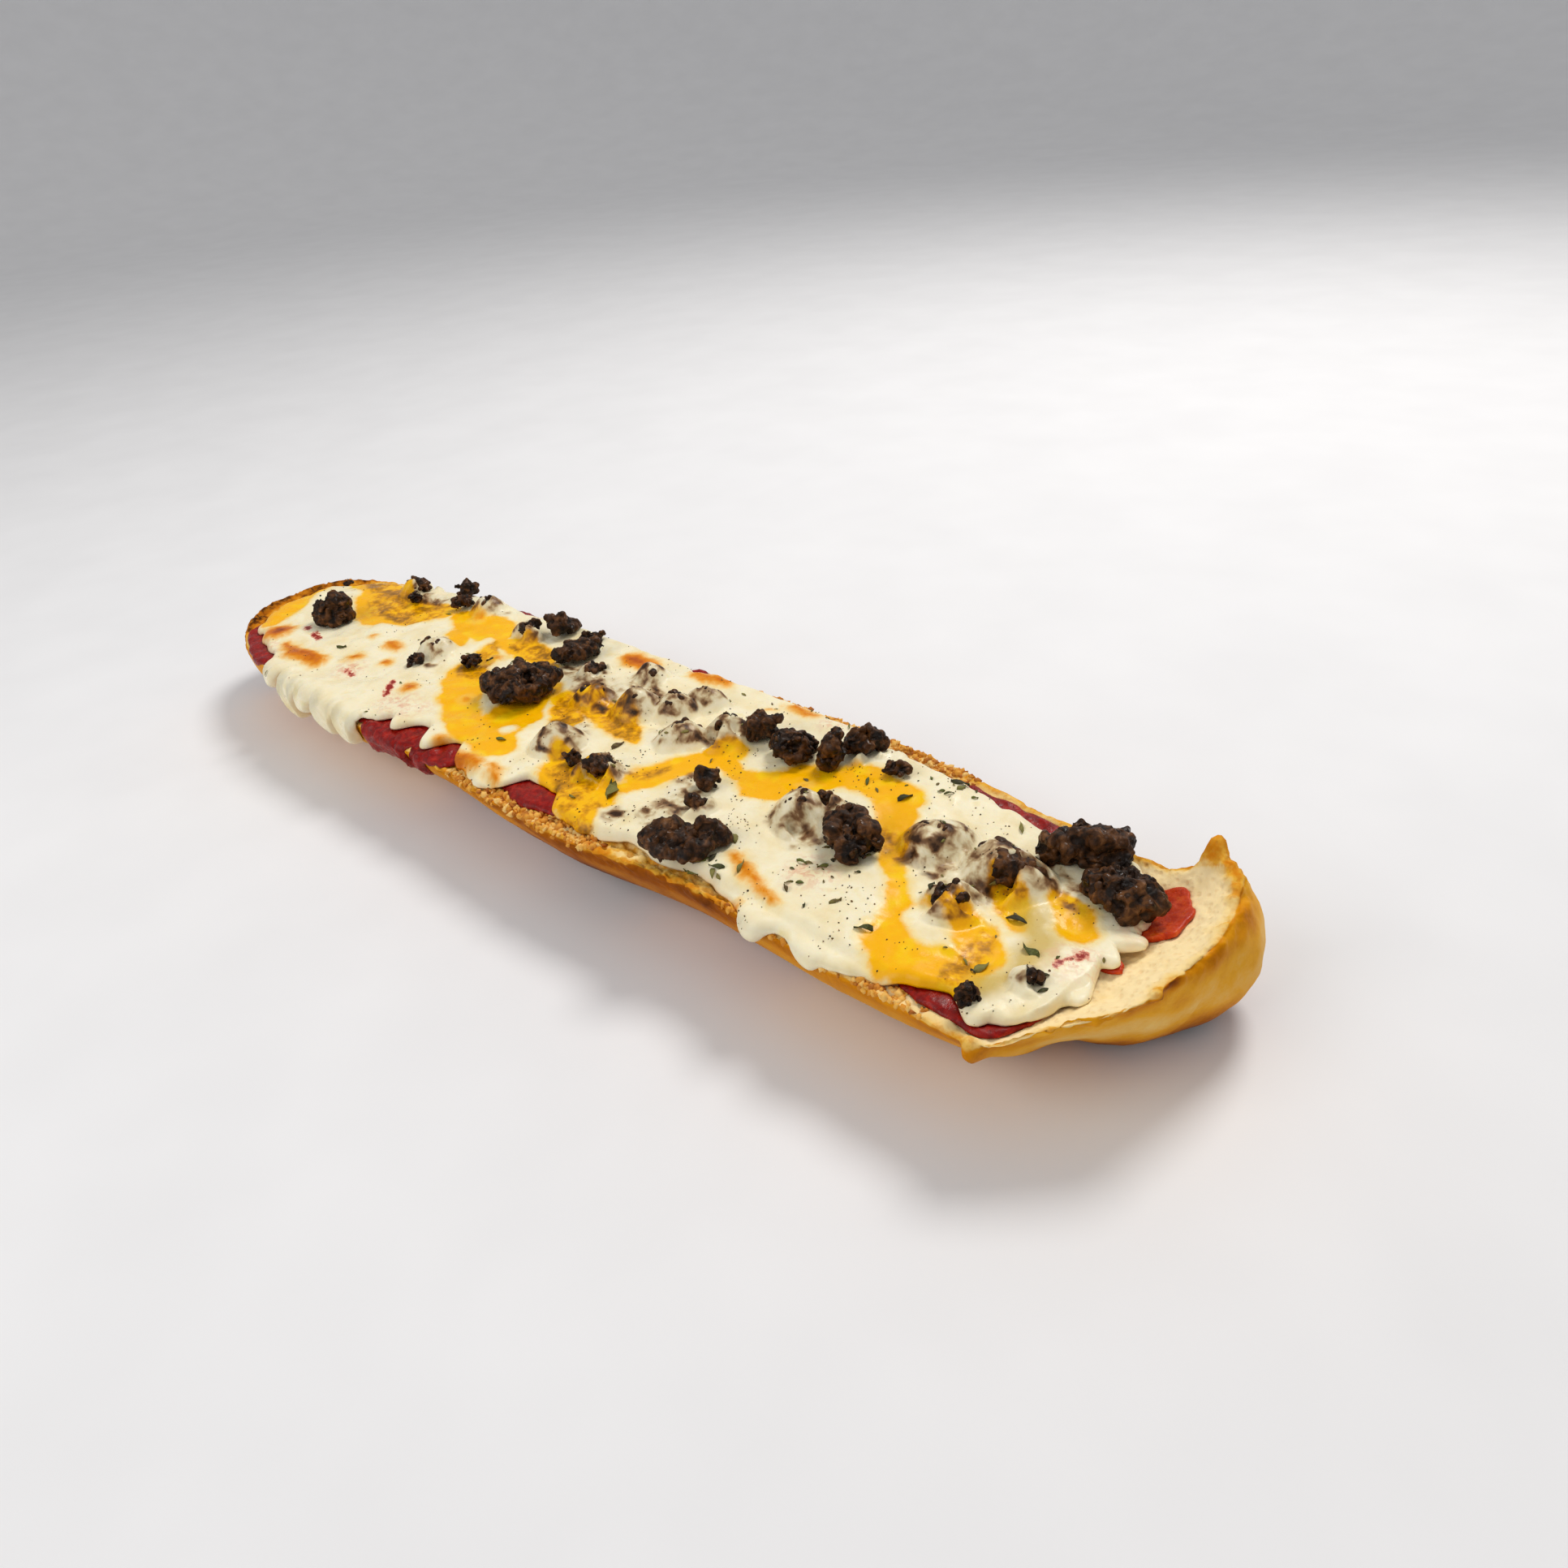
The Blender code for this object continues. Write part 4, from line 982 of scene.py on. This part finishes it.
def make_crumble(number, granules, material):
    """A beef crumble: lumpy granules over a shrunken core, fused into one skin and roughened. Each granule's
    radius in a direction is an ellipsoid's, times one plus noise."""
    name = f"beef_{number:02d}"
    core, core_faces = points_and_triangles(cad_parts[name].data)
    middle = core.mean(axis=0)
    core = middle + (core - middle) * CORE_SHARE
    centres, radii = granules
    count = len(centres)
    rng = np.random.default_rng(700 + number)
    ways, faces = unit_ball(3)
    stretch = rng.uniform(*GRANULE_STRETCH, (count, 1, 3))
    axes = turned_axes(rng, count)
    lumps = 1 + 0.4 * rough(ways[None] * 1.4 + rng.uniform(0, 90, (count, 1, 3)), 1.0, 0, 2)
    shaped = (ways[None] * stretch) @ axes * (radii[:, None] * lumps)[..., None] + centres[:, None]
    points = np.concatenate([core, shaped.reshape(-1, 3)])
    faces = np.concatenate([core_faces, copies(faces, count, len(ways)) + len(core)])
    holder = shown(name + "_granules", new_mesh(name + "_granules", points, faces))
    fuse = holder.modifiers.new("fused", "REMESH")
    fuse.mode = "VOXEL"
    fuse.voxel_size = (FINE_VOXEL if count < FEW_GRANULES else COARSE_VOXEL) * MM
    graph = bpy.context.evaluated_depsgraph_get()
    points, faces = points_and_triangles(holder.evaluated_get(graph).to_mesh())
    bpy.data.objects.remove(holder)
    normals = normals_of(points, faces)
    bent = points + 1.2 * np.stack([noise(points, 3, seed) for seed in (431, 433, 435)], axis=1)
    cracks = smooth_step(0.22, 0.0, np.abs(noise(bent, 3.4, 441)))
    cracks = cracks * smooth_step(-0.4, 0.3, noise(points, 6, 443))
    crags = 0.6 * rough(points, 2.4, 401, 2) + 0.14 * noise(points, 0.9, 411) + 0.7 * noise(bent, 4.5, 445)
    points = points + normals * (crags - CRACK_DEPTH * cracks)[:, None]
    # Where no granule's middle is near, the skin lies in a hollow between granules
    near = np.full(len(points), 9.0)
    for centre, radius in zip(centres, radii):
        near = np.minimum(near, np.linalg.norm(points - centre, axis=1) / radius)
    # The hollow value, with the cracks, darkens the beef's colour there as painted shade
    values = {"hollow": np.maximum(smooth_step(1.05, 0.8, near), 0.8 * cracks)}
    return add_piece(f"crumble_{number:02d}", points, faces, material, values, (name,))


def surface_places(piece, count, rng, weight):
    """Random points of a piece with their normals, more of them where the weight is high."""
    mesh = piece.data
    points = loaf_points(mesh)
    normals = read(mesh.vertex_normals, "vector")
    corners = read(mesh.loops, "vertex_index", 1, np.int32)[:, 0]
    area = read(mesh.polygons, "area", 1)[:, 0]
    share = np.bincount(corners, np.repeat(area, 3), len(points))
    chance = share * weight(points) * np.clip(normals[:, 2], 0, 1)
    pick = rng.choice(len(points), count, replace=False, p=chance / chance.sum())
    return points[pick], normals[pick]


def laid_axes(normals, turn):
    """Axes for flakes that lie on a surface: one along it at that turn, one across, and the normal."""
    along = np.stack([np.cos(turn), np.sin(turn), 0 * turn], axis=1)
    across = np.cross(normals, along)
    across /= np.linalg.norm(across, axis=1, keepdims=True)
    return np.stack([np.cross(across, normals), across, normals], axis=1)


def herb_places(p):
    """Where herb flakes lie: in loose clusters, most of them on the right half."""
    return (0.12 + smooth_step(-20, 60, p[:, 0])) * (0.2 + smooth_step(0, 0.5, noise(p, 14, 33)))


def make_herbs(cheese):
    """Dried herb flakes: thin curled leaves, each a 5 by 3 grid doubled into a closed wafer, whose half width
    is a power of a cosine along it and which arches by a parabola, with a twist across."""
    rng = np.random.default_rng(31)
    count = HERB_COUNT
    spots, normals = surface_places(cheese, count, rng, herb_places)
    listed = np.array(LEAVES, float)
    skin = loaf_points(cheese.data)
    for k, (x, y, _, _) in enumerate(listed):
        close = np.argmin(np.hypot(skin[:, 0] - x, skin[:, 1] - y) - 0.02 * skin[:, 2])
        spots[k], normals[k] = skin[close], (0, 0, 1)
    length = rng.gamma(2.2, 0.55, count) + 0.5
    turn = rng.uniform(0, 2 * math.pi, count)
    length[:len(listed)], turn[:len(listed)] = listed[:, 2], np.radians(listed[:, 3])
    wide = rng.uniform(0.22, 0.5, count)
    u, v = np.meshgrid(np.linspace(-0.5, 0.5, 5), np.linspace(-1, 1, 3), indexing="ij")
    u, v = u.reshape(-1), v.reshape(-1)
    outline = 0.12 + 0.88 * np.cos(u * math.pi) ** 0.8
    across = v[None] * outline * wide[:, None] / 2
    arch = rng.uniform(0.05, 0.22, (count, 1)) * (1 - 4 * u**2)
    arch = arch + rng.uniform(-0.12, 0.12, (count, 1)) * v * u * 4
    local = np.stack([np.broadcast_to(u, across.shape), across, arch], axis=-1) * length[:, None, None]
    local = np.concatenate([local + (0, 0, HERB_THICK), local], axis=1)
    points = local @ laid_axes(normals, turn) + spots[:, None]
    side = u.size
    corner = (np.arange(4)[:, None] * 3 + np.arange(2)).reshape(-1, 1)
    quads = corner + (0, 3, 4, 1)
    ring = np.array([0, 1, 2, 5, 8, 11, 14, 13, 12, 9, 6, 3])
    onward = np.roll(ring, -1)
    walls = np.stack([ring, onward, onward + side, ring + side], axis=1)
    faces = copies(np.concatenate([quads, quads[:, ::-1] + side, walls]), count, 2 * side)
    tone = np.repeat(rng.uniform(0, 1, count), 2 * side)
    finish = flake_finish("dried_herbs", [
        (44, 34, 14), (64, 66, 18), (96, 102, 32), (134, 124, 60), (84, 60, 28),
    ])
    return add_piece("dried_herbs", points.reshape(-1, 3), faces, finish, {"tone": tone}, ())


def make_grains(name, piece, count, seed, sizes, lift, weight, finish):
    """Specks strewn on a piece: small balls squashed, dented and turned at random, their middles above the
    surface by that share of their radius."""
    rng = np.random.default_rng(seed)
    spots, normals = surface_places(piece, count, rng, weight)
    ways, faces = unit_ball(1)
    radius = rng.uniform(*sizes, (count, 1, 1)) * rng.uniform(0.6, 1.3, (count, 1, 3))
    dents = 1 + 0.25 * rng.normal(size=(count, len(ways), 1))
    points = (ways[None] * radius * dents) @ turned_axes(rng, count)
    points = points + (spots + normals * radius.mean(axis=(1, 2))[:, None] * lift)[:, None]
    faces = copies(faces, count, len(ways))
    values = {"tone": np.repeat(rng.uniform(0, 1, count), len(ways))}
    return add_piece(name, points.reshape(-1, 3), faces, finish, values, ())


def pepper_places(p):
    """Where pepper lies: clustered as the herbs are, and more evenly."""
    return (0.25 + smooth_step(-60, 60, p[:, 0])) * (0.1 + smooth_step(0, 0.5, noise(p, 9, 43)))


def crumb_places(p):
    """Where toasted crumbs stand out: along both rims of the cut face."""
    x, y, z = p.T
    near = smooth_step(-43, -47, y) * (between(-30, -18, 44, 56, x) + between(98, 106, 160, 170, x))
    far = smooth_step(38, 41, y) * between(30, 44, 118, 128, x)
    return (near + far) * smooth_step(26, 27.5, z) + 1e-6


def make_floor():
    """Pale floor that rises at its far edge, in metres: a profile turned all the way round, flat and then a
    quarter circle up."""
    flat, rise, sectors = 2.2, 1.6, 96
    bend = np.linspace(0, math.pi / 2, 24)
    across = np.concatenate([[0.02, 0.6, 1.4], flat + rise * np.sin(bend)])
    height = np.concatenate([[0, 0, 0], rise * (1 - np.cos(bend))])
    turn = np.linspace(0, 2 * math.pi, sectors + 1)[:-1]
    points = np.stack([
        across[:, None] * np.cos(turn), across[:, None] * np.sin(turn), height[:, None] + 0 * turn,
    ], axis=-1).reshape(-1, 3)
    faces = ring_faces(len(across), sectors)[:, ::-1]
    ring = np.arange(sectors)
    hub = np.stack([ring, np.roll(ring, -1), np.full(sectors, len(points))], axis=1)
    points = np.concatenate([points, [[0, 0, 0]]])
    mesh = bpy.data.meshes.new("floor")
    mesh.from_pydata(points.tolist(), [], np.concatenate([faces, hub]).tolist())
    mesh.shade_smooth()
    mesh.materials.append(floor_finish())
    shown("floor", mesh)


def add_light(name, place, aim, size, power, colour):
    """A round lamp that faces its aim, both places in metres."""
    data = bpy.data.lights.new(name, "AREA")
    data.shape = "DISK"
    data.size = size
    data.energy = power
    data.color = colour
    back = np.array(place, float) - aim
    back /= np.linalg.norm(back)
    right = np.cross((0, 0, 1.0), back)
    right /= np.linalg.norm(right)
    axes = Matrix(np.stack([right, np.cross(back, right), back], axis=1).tolist()).to_4x4()
    axes.translation = place
    shown(name, data).matrix_world = axes


def make_light():
    add_light("key", place=(0.05, 0.85, 1.15), aim=(-0.02, 0, 0.02), size=0.5, power=11,
              colour=(1.0, 0.97, 0.93))
    add_light("fill", place=(-0.25, -0.9, 0.75), aim=(0.0, 0, 0.02), size=0.9, power=4.6,
              colour=(1.0, 0.99, 0.97))
    world = bpy.data.worlds.new("studio")
    world.use_nodes = True
    sky = world.node_tree.nodes["Background"]
    sky.inputs["Color"].default_value = (1, 1, 1, 1)
    sky.inputs["Strength"].default_value = 0.42
    bpy.context.scene.world = world
    bpy.context.scene.view_settings.view_transform = "Standard"


def make_camera():
    data = bpy.data.cameras.new("camera")
    data.lens = CAMERA_LENS
    data.sensor_width = 36
    data.clip_start = 0.01
    camera = shown("camera", data)
    axes = np.array([CAMERA_RIGHT, [-v for v in CAMERA_DOWN], [-v for v in CAMERA_FORWARD]]).T
    matrix = Matrix(axes.tolist()).to_4x4()
    matrix.translation = (np.array(CAMERA_PLACE) - MIDDLE) * MM
    camera.matrix_world = matrix
    bpy.context.scene.camera = camera


def main():
    make_camera()
    make_light()
    make_floor()
    loaf = make_loaf()
    make_sauce()
    granules = {number: plan_granules(number) for number in CRUMBLES}
    cheese = make_cheese(granules)
    beef = beef_finish()
    for number, planned in granules.items():
        make_crumble(number, planned, beef)
    make_herbs(cheese)
    pepper = flake_finish("pepper", [(40, 28, 14), (84, 62, 30), (126, 94, 50)])
    make_grains("pepper_specks", cheese, count=900, seed=41, sizes=(0.12, 0.28), lift=0.3,
                weight=pepper_places, finish=pepper)
    toast = flake_finish("toasted_crumbs", [(176, 98, 16), (222, 146, 32), (240, 178, 72), (248, 206, 124)])
    make_grains("toasted_crumbs", loaf, count=900, seed=51, sizes=(0.5, 1.35), lift=-0.15,
                weight=crumb_places, finish=toast)


main()
